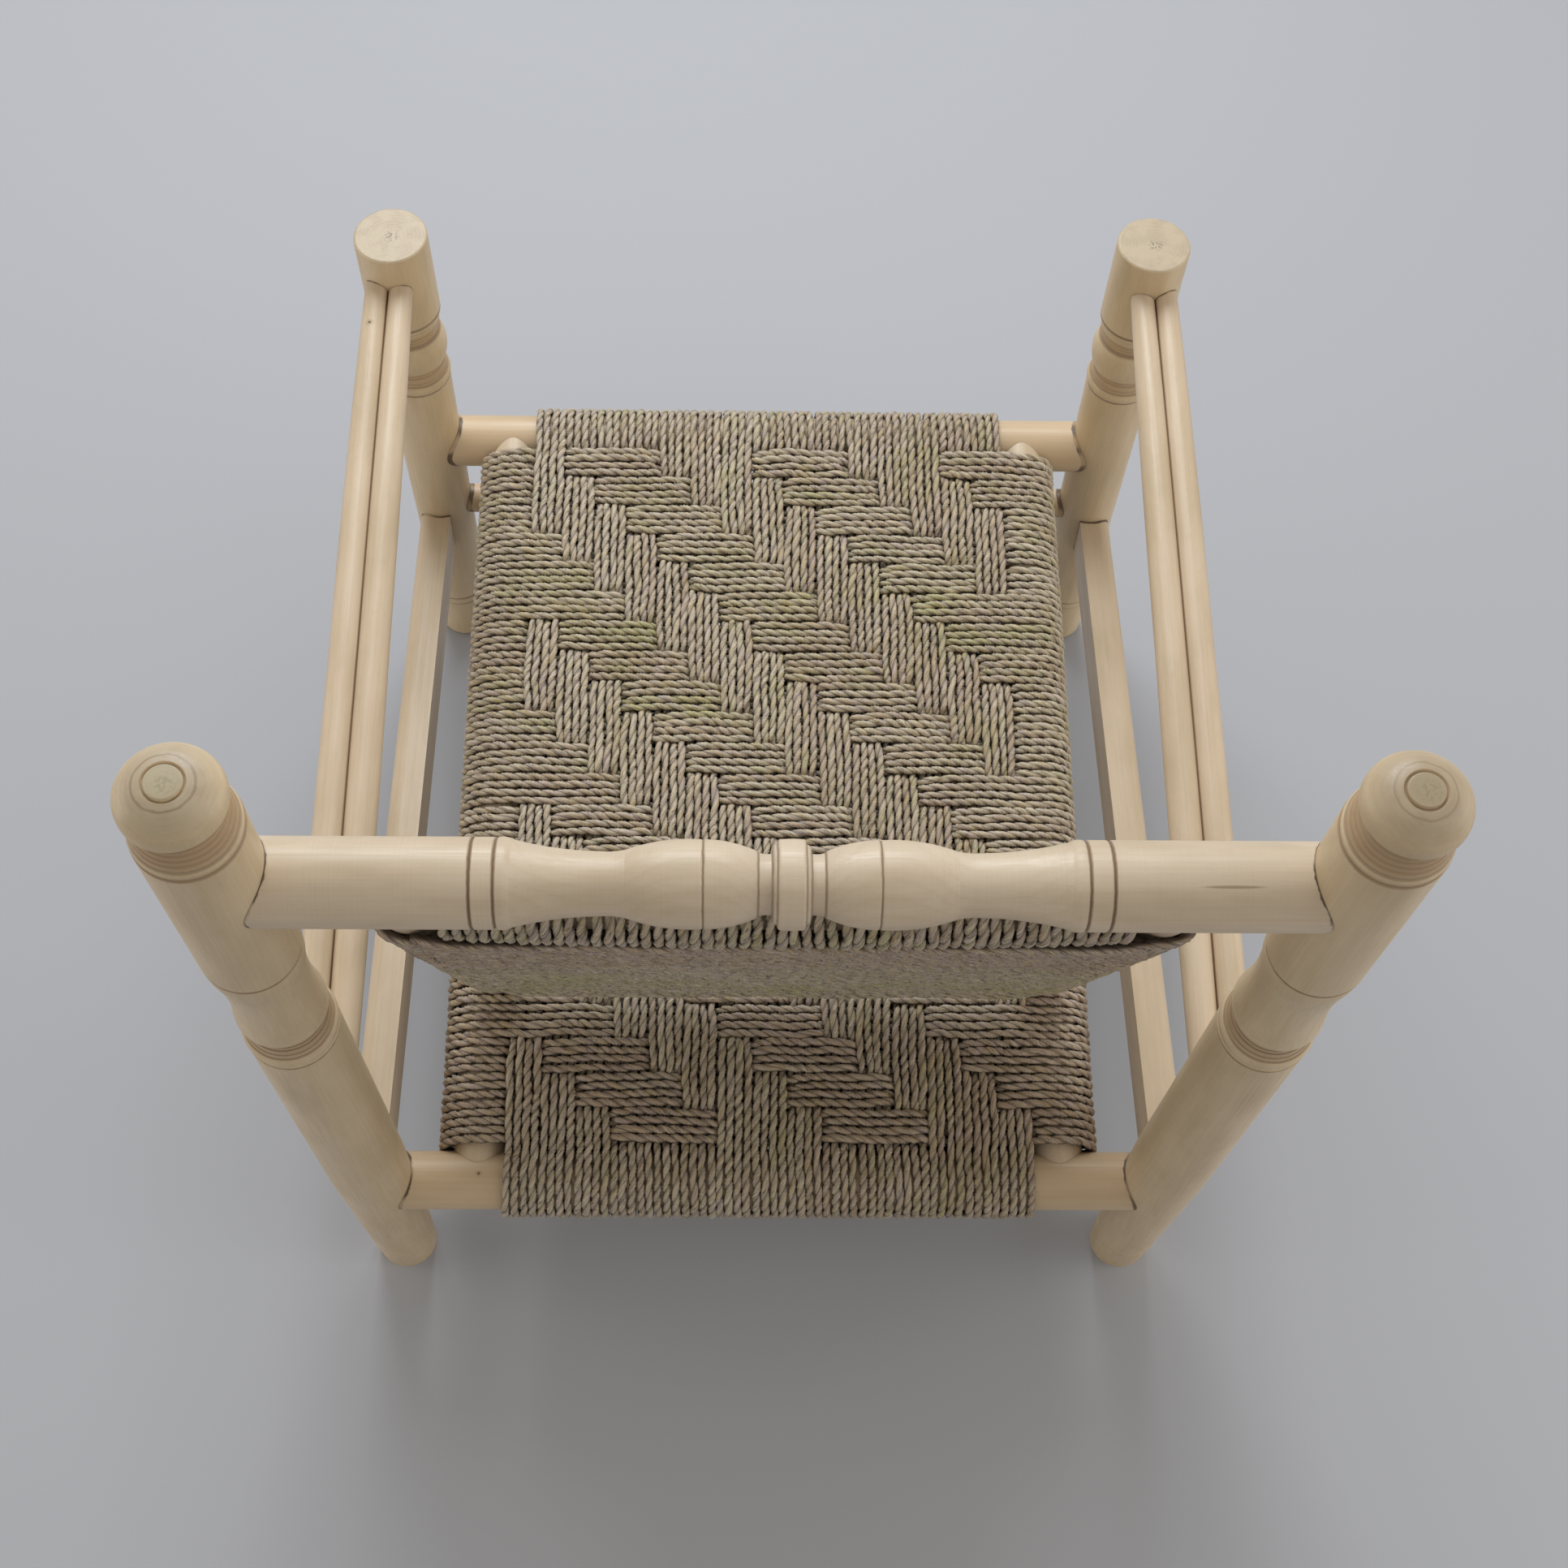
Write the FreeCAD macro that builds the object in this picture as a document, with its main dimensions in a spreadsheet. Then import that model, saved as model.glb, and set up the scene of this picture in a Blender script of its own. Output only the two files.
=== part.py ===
import FreeCAD, Part
import os
import re
import Sketcher

# A low armchair of turned wood with a woven cord seat and back.
# The origin is at the middle of the chair's outline, on the floor.
# X runs across the seat, +X to the sitter's left, -Y is the front and +Z is up.
# Depths are measured back from the line of the front posts, heights from the floor,
# and marks run up a post along its own axis, from the floor.
SIZES = {
    # Front posts, which lean outwards a little
    "front_foot_x": 314.9,
    "front_top_x": 325.6,
    "front_height": 572.0,
    "front_post_r": 31.4,
    "front_column_r": 29.8,
    "front_ankle_r": 26.6,
    "front_foot_r": 25.0,
    "front_ankle_mark": 70.0,
    "front_turning_low": 395.6,
    "front_turning_high": 483.5,
    # Rear posts, which lean back
    "rear_foot_x": 325.5,
    "rear_foot_depth": 687.6,
    "rear_set_back": 95.5,
    "rear_height": 996.7,
    "rear_post_r": 32.0,
    "rear_ankle_r": 27.4,
    "rear_foot_r": 25.6,
    "rear_ankle_mark": 60.0,
    "rear_taper_mark": 270.0,
    "rear_turning_low": 617.0,
    "rear_turning_high": 768.0,
    "rear_neck_low": 928.0,
    "rear_neck_high": 955.0,
    "ball_mark": 978.5,
    "ball_r": 30.5,
    "ball_end_r": 11.0,
    "ball_ring_width": 1.8,
    "ball_ring_depth": 1.4,
    # Turned lines and edges
    "line_width": 3.0,
    "line_depth": 1.3,
    "rim_round": 2.0,
    # Crest rail
    "crest_height": 863.4,
    "crest_r": 26.4,
    "crest_bead_x": 11.0,
    "crest_neck_x": 19.5,
    "crest_waist_x": 108.7,
    "crest_band_inner_x": 167.3,
    "crest_band_outer_x": 180.8,
    # Seat frame
    "seat_rail_r": 24.0,
    "front_rail_height": 297.3,
    "rear_rail_height": 209.5,
    "side_rail_x": 240.6,
    "side_rail_r": 22.2,
    "stretcher_r": 14.0,
    "stretcher_height": 208.0,
    # Back frame
    "back_rail_r": 17.5,
    "back_low_depth": 558.7,
    "back_low_height": 316.0,
    "back_top_drop": 54.4,
    "back_lead": -3.7,
    "stile_x": 228.0,
    "stile_r": 19.0,
    "stile_shoulder": 38.5,
    # Arms, each a pair of spindles that lie side by side
    "arm_front_height": 537.5,
    "arm_rear_height": 452.5,
    "arm_front_out": 4.0,
    "arm_rear_out": 5.9,
    "arm_front_spacing": 20.0,
    "arm_rear_spacing": 24.0,
    "arm_front_r": 9.6,
    "arm_middle_r": 12.9,
    "arm_rear_r": 11.2,
    # Side boards
    "board_thickness": 30.0,
    "board_depth": 47.0,
    "board_edge_r": 12.0,
    "board_front_x": 339.4,
    "board_rear_x": 342.0,
    "board_front_top": 213.0,
    "board_rear_top": 262.0,
    # Joints
    "rail_tenon_r": 14.0,
    "crest_tenon_r": 10.0,
    "side_tenon_r": 12.0,
    "back_tenon_r": 9.0,
    "stile_foot_tenon_r": 7.0,
    "stile_head_tenon_r": 9.0,
    "stretcher_tenon_r": 8.0,
    "arm_tenon_r": 5.0,
    "board_tenon_thickness": 18.0,
    "board_tenon_depth": 26.0,
    "board_tenon_rise": 2.0,
    "tenon_reach": 8.0,
    "tenon_stop": 9.0,
    "fit_gap": 0.15,
    "seat_gap": 0.3,
    "overrun": 6.0,
    # Woven cord, as closed belts round the rails
    "cord_layer": 7.1,
    "warp_half_width": 219.8,
    "back_warp_half_width": 205.3,
}

# Turned sections: shares of the section's length upwards and of its full radius,
# and how far the stretch above swells, as a share of its chord (hollow below zero)
FRONT_TURNING_SHARES = (
    (0.030, 0.950, 0.14),
    (0.125, 0.935, 0),
    (0.132, 0.905, 0),
    (0.160, 0.895, 0),
    (0.168, 0.875, 0),
    (0.230, 0.855, 0),
    (0.238, 0.840, 0),
    (0.285, 0.830, 0),
    (0.300, 0.900, 0.10),
    (0.700, 0.900, 0),
    (0.715, 0.850, 0),
    (0.770, 0.865, 0),
    (0.778, 0.880, 0),
    (0.830, 0.895, 0),
    (0.838, 0.915, -0.06),
    (0.925, 0.955, 0.12),
    (0.985, 0.955, 0),
)
REAR_TURNING_SHARES = (
    (0.020, 0.970, 0.14),
    (0.100, 0.955, 0),
    (0.106, 0.925, 0),
    (0.130, 0.910, 0),
    (0.136, 0.890, 0),
    (0.170, 0.875, 0),
    (0.176, 0.855, 0),
    (0.195, 0.845, 0),
    (0.201, 0.835, 0),
    (0.236, 0.825, 0),
    (0.244, 0.880, 0.14),
    (0.310, 0.950, 0),
    (0.330, 0.950, -0.035),
    (0.860, 0.945, 0.03),
    (0.980, 0.975, 0),
)
REAR_NECK_SHARES = (
    (0.060, 0.975, 0.10),
    (0.290, 0.950, 0),
    (0.315, 0.925, 0),
    (0.440, 0.895, 0),
    (0.465, 0.875, 0),
    (0.600, 0.845, 0),
    (0.625, 0.825, 0),
    (0.780, 0.795, 0),
    (0.805, 0.770, 0),
    (0.960, 0.730, 0),
)
# Crest rail, from the middle outwards: shares of the bead's half width or of the swell's
# stretch, and of the radius
CREST_BEAD_SHARES = (
    (0.520, 0.985, 0.20),
    (0.745, 0.910, 0),
    (0.780, 0.870, 0.12),
    (1.000, 0.790, 0),
    (1.060, 0.664, -0.05),
)
CREST_SWELL_SHARES = (
    (-0.012, 0.680, 0),
    (0.000, 0.720, 0.05),
    (0.330, 0.975, 0),
    (0.345, 0.950, 0),
    (0.360, 0.975, 0.05),
    (0.840, 0.740, -0.04),
)
CREST_WAIST_SHARE = 0.700
TOE_ROUND_SHARE = 0.29
BALL_FOOT_SHARE = 0.79

SIDES = {"left": 1, "right": -1}

doc = FreeCAD.newDocument("low_chair")
sheet = doc.addObject("Spreadsheet::Sheet", "Sizes")
for row, (alias, value) in enumerate(SIZES.items(), start=1):
    sheet.set("A%d" % row, alias)
    sheet.set("B%d" % row, str(value))
    sheet.setAlias("B%d" % row, alias)
doc.recompute()

ALIAS_WORD = re.compile(r"[a-z_]+")


def bound(expression):
    """The expression with each size written as a cell of the sheet."""
    return ALIAS_WORD.sub(
        lambda word: "Sizes." + word.group() if word.group() in SIZES else word.group(),
        expression,
    )


def number(expression):
    """The present value of an expression of sizes."""
    return float(sheet.evalExpression(expression))


# Places worked out from the sizes, as expressions
REAR_LENGTH = "sqrt(rear_height ^ 2 + rear_set_back ^ 2)"
FRONT_LENGTH = "sqrt(front_height ^ 2 + (front_top_x - front_foot_x) ^ 2)"
REAR_REACH = f"(rear_foot_depth + rear_set_back * ball_mark / {REAR_LENGTH} + ball_r)"
ORIGIN_DEPTH = f"(({REAR_REACH} - front_post_r) / 2)"


def front_x(height):
    """How far the front posts' axes stand from the middle at a height."""
    return f"(front_foot_x + (front_top_x - front_foot_x) * ({height}) / front_height)"


def rear_depth(height):
    """How far back the rear posts' axes stand at a height."""
    return f"(rear_foot_depth + rear_set_back * ({height}) / rear_height)"


def signed(side, expression):
    """The expression on the left side, and its negative on the right."""
    return f"({expression})" if SIDES[side] > 0 else f"(-({expression}))"


REAR_RAIL_DEPTH = rear_depth("rear_rail_height")
CREST_DEPTH = rear_depth("crest_height")
SEAT_LENGTH = f"sqrt({REAR_RAIL_DEPTH} ^ 2 + (front_rail_height - rear_rail_height) ^ 2)"
# The back's top rail hangs below the crest rail, and the back leans from its bottom rail
# to just in front of the crest rail's axis
BACK_TOP_HEIGHT = "(crest_height - back_top_drop)"
BACK_LEAN = f"(({CREST_DEPTH} - back_lead - back_low_depth) / (crest_height - back_low_height))"
BACK_TOP_DEPTH = f"(back_low_depth + {BACK_LEAN} * ({BACK_TOP_HEIGHT} - back_low_height))"
BACK_LENGTH = f"sqrt(({BACK_TOP_DEPTH} - back_low_depth) ^ 2 + ({BACK_TOP_HEIGHT} - back_low_height) ^ 2)"
BACK_DEPTH_STEP = f"(({BACK_TOP_DEPTH} - back_low_depth) / {BACK_LENGTH})"
BACK_HEIGHT_STEP = f"(({BACK_TOP_HEIGHT} - back_low_height) / {BACK_LENGTH})"
SEAT_SLOPE = f"((front_rail_height - rear_rail_height) / {REAR_RAIL_DEPTH})"
# Where the stiles' line meets the plane of the seat rails' axes
STILE_FOOT_DEPTH = (
    f"((back_low_depth - {BACK_LEAN} * (back_low_height - front_rail_height))"
    f" / (1 + {BACK_LEAN} * {SEAT_SLOPE}))"
)
STILE_FOOT_HEIGHT = f"(front_rail_height - {SEAT_SLOPE} * {STILE_FOOT_DEPTH})"


def placement(place, direction, shift=("0", "0", "0")):
    """A placement whose own Z follows a direction, with an own shift before it."""
    along_x, along_y, along_z = direction
    base = f"vector({place[0]}; {place[1]} - {ORIGIN_DEPTH}; {place[2]})"
    if along_x == "0" and along_y == "0":
        turn = "rotation(vector(0; 0; 1); 0)"
    else:
        span = f"sqrt(({along_x}) ^ 2 + ({along_y}) ^ 2 + ({along_z}) ^ 2)"
        turn = f"rotation(vector(-({along_y}); {along_x}; 0); acos(({along_z}) / {span}))"
    moved = f"placement(vector({shift[0]}; {shift[1]}; {shift[2]}); rotation(vector(0; 0; 1); 0))"
    return f"placement({base}; {turn}) * {moved}"


def bind(piece, **expressions):
    """Bind properties of a piece to the sheet and give the piece back."""
    for name, expression in expressions.items():
        piece.setExpression(name, bound(expression))
    return piece


def rod(name, radius, length, place):
    """A round rod along its own Z."""
    piece = doc.addObject("Part::Cylinder", name)
    return bind(piece, Radius=radius, Height=length, Placement=place)


def block(name, width, depth, height, place):
    """A block from its own corner."""
    piece = doc.addObject("Part::Box", name)
    return bind(piece, Length=width, Width=depth, Height=height, Placement=place)


def cut(name, base, tools):
    """The base with every tool cut away."""
    for count, tool in enumerate(tools):
        piece = doc.addObject("Part::Cut", f"{name}_cut_{count}")
        piece.Base = base
        piece.Tool = tool
        base = piece
    return base


def fuse(name, shapes):
    """All the shapes as one solid."""
    piece = doc.addObject("Part::MultiFuse", name)
    piece.Shapes = shapes
    piece.Refine = True
    return piece


def outline_sketch(body, role, outline):
    """A closed outline on an origin plane, each corner bound to the sheet.

    The outline is a list of corners (across, up, swell). The swell is how far the
    stretch to the next corner bows to its right, as a share of its chord.
    """
    sketch = body.newObject("Sketcher::SketchObject", body.Name + "_outline")
    plane = next(item for item in body.Origin.OriginFeatures if item.Role == role)
    sketch.AttachmentSupport = [(plane, "")]
    sketch.MapMode = "FlatFace"
    corners = [FreeCAD.Vector(number(a), number(b), 0) for a, b, swell in outline]
    ends = []
    rules = []
    for count, (across, up, swell) in enumerate(outline):
        after = (count + 1) % len(outline)
        here, there = corners[count], corners[after]
        if swell == 0:
            edge = sketch.addGeometry(Part.LineSegment(here, there), False)
            ends.append((edge, 1, 2))
            continue
        next_across, next_up = outline[after][:2]
        mid_across = f"(({across}) + ({next_across})) / 2 + {swell} * (({next_up}) - ({up}))"
        mid_up = f"(({up}) + ({next_up})) / 2 - {swell} * (({next_across}) - ({across}))"
        middle = FreeCAD.Vector(number(mid_across), number(mid_up), 0)
        edge = sketch.addGeometry(Part.Arc(here, middle, there), False)
        forward = sketch.getPoint(edge, 1).distanceToPoint(here) < sketch.getPoint(edge, 2).distanceToPoint(here)
        ends.append((edge, 1, 2) if forward else (edge, 2, 1))
        point = sketch.addGeometry(Part.Point(middle), True)
        rules.append((Sketcher.Constraint("PointOnObject", point, 1, edge), None))
        rules.append((Sketcher.Constraint("DistanceX", -1, 1, point, 1, middle.x), mid_across))
        rules.append((Sketcher.Constraint("DistanceY", -1, 1, point, 1, middle.y), mid_up))
    for count, (across, up, swell) in enumerate(outline):
        edge, start, _ = ends[count]
        before, _, finish = ends[count - 1]
        rules.append((Sketcher.Constraint("Coincident", before, finish, edge, start), None))
        if across == "0":
            rules.append((Sketcher.Constraint("PointOnObject", edge, start, -2), None))
        else:
            rules.append((Sketcher.Constraint("DistanceX", -1, 1, edge, start, corners[count].x), across))
        if up == "0":
            rules.append((Sketcher.Constraint("PointOnObject", edge, start, -1), None))
        else:
            rules.append((Sketcher.Constraint("DistanceY", -1, 1, edge, start, corners[count].y), up))
    sketch.addConstraint([rule for rule, expression in rules])
    for index, (rule, expression) in enumerate(rules):
        if expression is not None:
            sketch.setExpression("Constraints[%d]" % index, bound(expression))
    return sketch


def turned(name, outline, place):
    """A turned piece: the outline (radius, mark, swell) spun round its own Z."""
    body = doc.addObject("PartDesign::Body", name)
    sketch = outline_sketch(body, "XZ_Plane", outline)
    spin = body.newObject("PartDesign::Revolution", name + "_spin")
    spin.Profile = sketch
    spin.ReferenceAxis = (sketch, ["V_Axis"])
    spin.Angle = 360
    sketch.Visibility = False
    return bind(body, Placement=place)


def padded_section(name, outline, length, place):
    """A straight piece: the outline carried along its own Z."""
    body = doc.addObject("PartDesign::Body", name)
    pad = body.newObject("PartDesign::Pad", name + "_run")
    pad.Profile = outline_sketch(body, "XY_Plane", outline)
    bind(pad, Length=length)
    return bind(body, Placement=place)


def turned_line(radius, mark):
    """The three corners of a fine turned line."""
    return [
        (radius, f"{mark} - line_width / 2", 0),
        (f"{radius} - line_depth", mark, 0),
        (radius, f"{mark} + line_width / 2", 0),
    ]


def section(shares, radius, low, high):
    """The corners of a turned section between two marks."""
    return [
        (f"{radius} * {wide}", f"{low} + {up} * ({high} - {low})", swell)
        for up, wide, swell in shares
    ]


def grown(outline, gap):
    """The outline of a turned piece with its radii made larger by a gap."""
    return [(r if r == "0" else f"{r} + {gap}", mark, swell) for r, mark, swell in outline]


def raised(outline):
    """The outline lifted by the overrun that the floor cuts off."""
    return [(r, mark if mark == "0" else f"{mark} + overrun", swell) for r, mark, swell in outline]


def foot_outline(which):
    """A post from its axis up to the line above the foot."""
    foot, ankle, mark = f"{which}_foot_r", f"{which}_ankle_r", f"{which}_ankle_mark"
    toe = f"({foot} * {TOE_ROUND_SHARE})"
    return [
        ("0", "0", 0),
        (f"{foot} - {toe}", "0", 0),
        (f"{foot} - {toe}", "0 * overrun", 0.2),
        (foot, toe, 0),
        *turned_line(ankle, f"({mark} - 3 * line_width)"),
        *turned_line(ankle, mark),
    ]


def front_outline():
    """The front post: foot, tapered column, bead and rings, plain head."""
    return raised([
        *foot_outline("front"),
        *turned_line("front_column_r", "front_turning_low"),
        *section(FRONT_TURNING_SHARES, "front_post_r", "front_turning_low", "front_turning_high"),
        *turned_line("front_post_r", "front_turning_high"),
        ("front_post_r", f"{FRONT_LENGTH} - rim_round", 0.2),
        ("front_post_r - rim_round", FRONT_LENGTH, 0),
        ("0", FRONT_LENGTH, 0),
    ])


def rear_outline():
    """The rear post: foot, column, rings and vase, upper column, neck and ball."""
    return raised([
        *foot_outline("rear"),
        ("rear_post_r", "rear_taper_mark", 0),
        *turned_line("rear_post_r", "rear_turning_low"),
        *section(REAR_TURNING_SHARES, "rear_post_r", "rear_turning_low", "rear_turning_high"),
        *turned_line("rear_post_r", "rear_turning_high"),
        *turned_line("rear_post_r", "rear_neck_low"),
        *section(REAR_NECK_SHARES, "rear_post_r", "rear_neck_low", "rear_neck_high"),
        (f"ball_r * {BALL_FOOT_SHARE}", "rear_neck_high", 0.072),
        ("ball_r", "ball_mark", 0.178),
        ("ball_end_r + ball_ring_width", f"{REAR_LENGTH} - ball_ring_depth", 0),
        ("ball_end_r", f"{REAR_LENGTH} - 2 * ball_ring_depth", 0),
        ("ball_end_r", f"{REAR_LENGTH} - ball_ring_depth / 2", 0.1),
        ("ball_end_r - ball_ring_depth", REAR_LENGTH, 0),
        ("0", REAR_LENGTH, 0),
    ])


POST_LINES = {
    "front": ("front_foot_x", "0", "front_top_x - front_foot_x", "0", "front_height", FRONT_LENGTH),
    "rear": ("rear_foot_x", "rear_foot_depth", "0", "rear_set_back", "rear_height", REAR_LENGTH),
}


def post_placement(which, side):
    """A post's own Z along its axis, starting an overrun below the floor."""
    foot_x, foot_depth, lean_x, lean_y, height, length = POST_LINES[which]
    direction = (signed(side, lean_x) if lean_x != "0" else "0", lean_y, height)
    start = (
        f"{signed(side, foot_x)} - {signed(side, lean_x)} * overrun / {length}",
        f"{foot_depth} - ({lean_y}) * overrun / {length}",
        f"0 - {height} * overrun / {length}",
    )
    return placement(start, direction)


# The posts as turned, and the room that each one takes out of what is coped to it
posts = {}
spaces = {}
for which, outline in (("front", front_outline()), ("rear", rear_outline())):
    for side in SIDES:
        posts[which, side] = turned(f"{which}_{side}_turning", outline, post_placement(which, side))
        spaces[which, side] = turned(
            f"{which}_{side}_space", grown(outline, "seat_gap"), post_placement(which, side)
        )


def across(name, radius, start, end, depth, height):
    """A rod along X from start to end."""
    place = placement((start, depth, height), ("1", "0", "0"))
    return rod(name, radius, f"({end}) - ({start})", place)


def loosened(radius):
    """The radius of the hole for a tenon."""
    return f"{radius} + fit_gap"


def cross_rail(name, radius, tenon_r, which, reach, depth, height):
    """A round rail between two posts, coped to them, with a tenon at each end.

    Gives the rail and the mortise for each post.
    """
    post_x = front_x(height) if which == "front" else "rear_foot_x"
    bar = across(name + "_bar", radius, f"0 - {post_x}", post_x, depth, height)
    tenon_end = f"({post_x} + ({reach}))"
    tenon = across(name + "_tenons", tenon_r, f"0 - {tenon_end}", tenon_end, depth, height)
    coped = cut(name, bar, [spaces[which, side] for side in SIDES])
    hole_end = f"({tenon_end} + fit_gap)"
    hole = across(name + "_mortises", loosened(tenon_r), f"0 - {hole_end}", hole_end, depth, height)
    return fuse(name, [coped, tenon]), hole


seat_front_rail, front_rail_hole = cross_rail(
    "seat_front_rail", "seat_rail_r", "rail_tenon_r", "front", "tenon_reach", "0", "front_rail_height"
)
lower_front_stretcher, stretcher_hole = cross_rail(
    "lower_front_stretcher", "stretcher_r", "stretcher_tenon_r", "front", "0 - tenon_stop", "0",
    "stretcher_height",
)
seat_rear_rail, rear_rail_hole = cross_rail(
    "seat_rear_rail", "seat_rail_r", "rail_tenon_r", "rear", "tenon_reach", REAR_RAIL_DEPTH,
    "rear_rail_height",
)


def crest_outline():
    """The crest rail's outline from end to end: bead, necks, swells, waists, bands."""
    half = [
        *[(f"crest_r * {wide}", f"crest_bead_x * {out}", swell) for out, wide, swell in CREST_BEAD_SHARES],
        *[
            (f"crest_r * {wide}", f"crest_neck_x + {out} * (crest_waist_x - crest_neck_x)", swell)
            for out, wide, swell in CREST_SWELL_SHARES
        ],
        (f"crest_r * {CREST_WAIST_SHARE}", "crest_waist_x", -0.03),
        ("crest_r * 0.95", "crest_band_inner_x - 3 * line_width", 0.1),
        *turned_line("crest_r", "crest_band_inner_x"),
        *turned_line("crest_r", "crest_band_outer_x"),
        ("crest_r", "rear_foot_x", 0),
    ]
    low = []
    for index in range(len(half) - 1, -1, -1):
        radius, out, _ = half[index]
        low.append((radius, f"rear_foot_x - ({out})", half[index - 1][2] if index else 0.02))
    high = [(radius, f"rear_foot_x + ({out})", swell) for radius, out, swell in half]
    return [("0", "0", 0), (low[0][0], "0", 0), *low[1:], *high, ("0", "2 * rear_foot_x", 0)]


crest_bar = turned(
    "crest_turning", crest_outline(), placement(("0 - rear_foot_x", CREST_DEPTH, "crest_height"), ("1", "0", "0"))
)
CREST_TENON_END = "(rear_foot_x + tenon_reach)"
CREST_TENON_START = "(rear_foot_x - 2 * rear_post_r)"


def crest_tenon(name, side, radius, gap):
    """The round tenon at one end of the crest rail, or its mortise."""
    length = f"{CREST_TENON_END} - {CREST_TENON_START} + {gap}"
    place = placement((signed(side, CREST_TENON_START), CREST_DEPTH, "crest_height"), (signed(side, "1"), "0", "0"))
    return rod(name, radius, length, place)


# The back's stiles, from the side rails of the seat up into the crest rail
BACK_DIRECTION = ("0", BACK_DEPTH_STEP, BACK_HEIGHT_STEP)
STILE_RISE = f"((crest_height - {STILE_FOOT_HEIGHT}) / {BACK_HEIGHT_STEP})"


def on_stile(name, side, radius, start, end):
    """A rod along a stile's axis between two distances from its foot."""
    place = placement(
        (
            signed(side, "stile_x"),
            f"{STILE_FOOT_DEPTH} + {BACK_DEPTH_STEP} * ({start})",
            f"{STILE_FOOT_HEIGHT} + {BACK_HEIGHT_STEP} * ({start})",
        ),
        BACK_DIRECTION,
    )
    return rod(name, radius, f"({end}) - ({start})", place)


crest_space = across(
    "crest_space", "crest_r + seat_gap", "0 - rear_foot_x", "rear_foot_x", CREST_DEPTH, "crest_height"
)
HEAD_TENON_END = f"({STILE_RISE} + tenon_reach)"
FOOT_TENON_START = "(0 - tenon_reach)"

back_rails = {}
back_rail_holes = []
for name, depth, height in (
    ("back_bottom_rail", "back_low_depth", "back_low_height"),
    ("back_top_rail", BACK_TOP_DEPTH, BACK_TOP_HEIGHT),
):
    shoulder = "(stile_x - stile_r - seat_gap)"
    tenon_end = "(stile_x + tenon_reach)"
    bar = across(name + "_bar", "back_rail_r", f"0 - {shoulder}", shoulder, depth, height)
    tenon = across(name + "_tenons", "back_tenon_r", f"0 - {tenon_end}", tenon_end, depth, height)
    back_rails[name] = fuse(name, [bar, tenon])
    hole_end = f"({tenon_end} + fit_gap)"
    back_rail_holes.append(
        across(name + "_mortises", loosened("back_tenon_r"), f"0 - {hole_end}", hole_end, depth, height)
    )

stiles = {}
stile_head_holes = []
stile_foot_holes = {}
for side in SIDES:
    name = f"back_stile_{side}"
    bar = on_stile(name + "_bar", side, "stile_r", "stile_shoulder", STILE_RISE)
    coped = cut(name, bar, [crest_space])
    head = on_stile(name + "_head", side, "stile_head_tenon_r", f"{STILE_RISE} - 2 * crest_r", HEAD_TENON_END)
    foot = on_stile(name + "_foot", side, "stile_foot_tenon_r", FOOT_TENON_START, "stile_shoulder + overrun")
    whole = fuse(name + "_whole", [coped, head, foot])
    stiles[side] = cut(name + "_drilled", whole, back_rail_holes)
    stile_head_holes.append(
        on_stile(name + "_head_hole", side, loosened("stile_head_tenon_r"), f"{STILE_RISE} - 2 * crest_r",
                 f"{HEAD_TENON_END} + fit_gap")
    )
    stile_foot_holes[side] = on_stile(
        name + "_foot_hole", side, loosened("stile_foot_tenon_r"), f"{FOOT_TENON_START} - fit_gap", "stile_shoulder"
    )

coped_crest = cut("crest_rail", crest_bar, [spaces["rear", side] for side in SIDES])
crest_tenons = [crest_tenon(f"crest_tenon_{side}", side, "crest_tenon_r", "0") for side in SIDES]
crest_rail = cut("crest_rail_drilled", fuse("crest_rail_whole", [coped_crest, *crest_tenons]), stile_head_holes)
crest_holes = {
    side: crest_tenon(f"crest_mortise_{side}", side, loosened("crest_tenon_r"), "fit_gap")
    for side in SIDES
}

# The seat's side rails, tenoned into the front and rear rails
SEAT_DIRECTION = ("0", REAR_RAIL_DEPTH, "rear_rail_height - front_rail_height")
rail_spaces = [
    across("front_rail_space", "seat_rail_r + seat_gap", "0 - side_rail_x - 2 * seat_rail_r",
           "side_rail_x + 2 * seat_rail_r", "0", "front_rail_height"),
    across("rear_rail_space", "seat_rail_r + seat_gap", "0 - side_rail_x - 2 * seat_rail_r",
           "side_rail_x + 2 * seat_rail_r", REAR_RAIL_DEPTH, "rear_rail_height"),
]


def on_side_rail(name, side, radius, start, end):
    """A rod along a side rail's axis between two distances from the front rail's axis."""
    place = placement(
        (signed(side, "side_rail_x"), "0", "front_rail_height"), SEAT_DIRECTION, ("0", "0", start)
    )
    return rod(name, radius, f"({end}) - ({start})", place)


side_rails = {}
side_rail_holes = []
for side in SIDES:
    name = f"seat_side_rail_{side}"
    bar = on_side_rail(name + "_bar", side, "side_rail_r", "0", SEAT_LENGTH)
    coped = cut(name, bar, rail_spaces)
    tenon_start = "(0 - tenon_reach)"
    tenon_end = f"({SEAT_LENGTH} + tenon_reach)"
    tenon = on_side_rail(name + "_tenons", side, "side_tenon_r", tenon_start, tenon_end)
    whole = fuse(name + "_whole", [coped, tenon])
    side_rails[side] = cut(name + "_drilled", whole, [stile_foot_holes[side]])
    side_rail_holes.append(
        on_side_rail(name + "_mortises", side, loosened("side_tenon_r"), f"{tenon_start} - fit_gap",
                     f"{tenon_end} + fit_gap")
    )
seat_front_rail = cut("seat_front_rail_drilled", seat_front_rail, side_rail_holes)
seat_rear_rail = cut("seat_rear_rail_drilled", seat_rear_rail, side_rail_holes)

# The arms: two spindles side by side on each side, planed flat where they meet
ARM_REAR_DEPTH = rear_depth("arm_rear_height")


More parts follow.
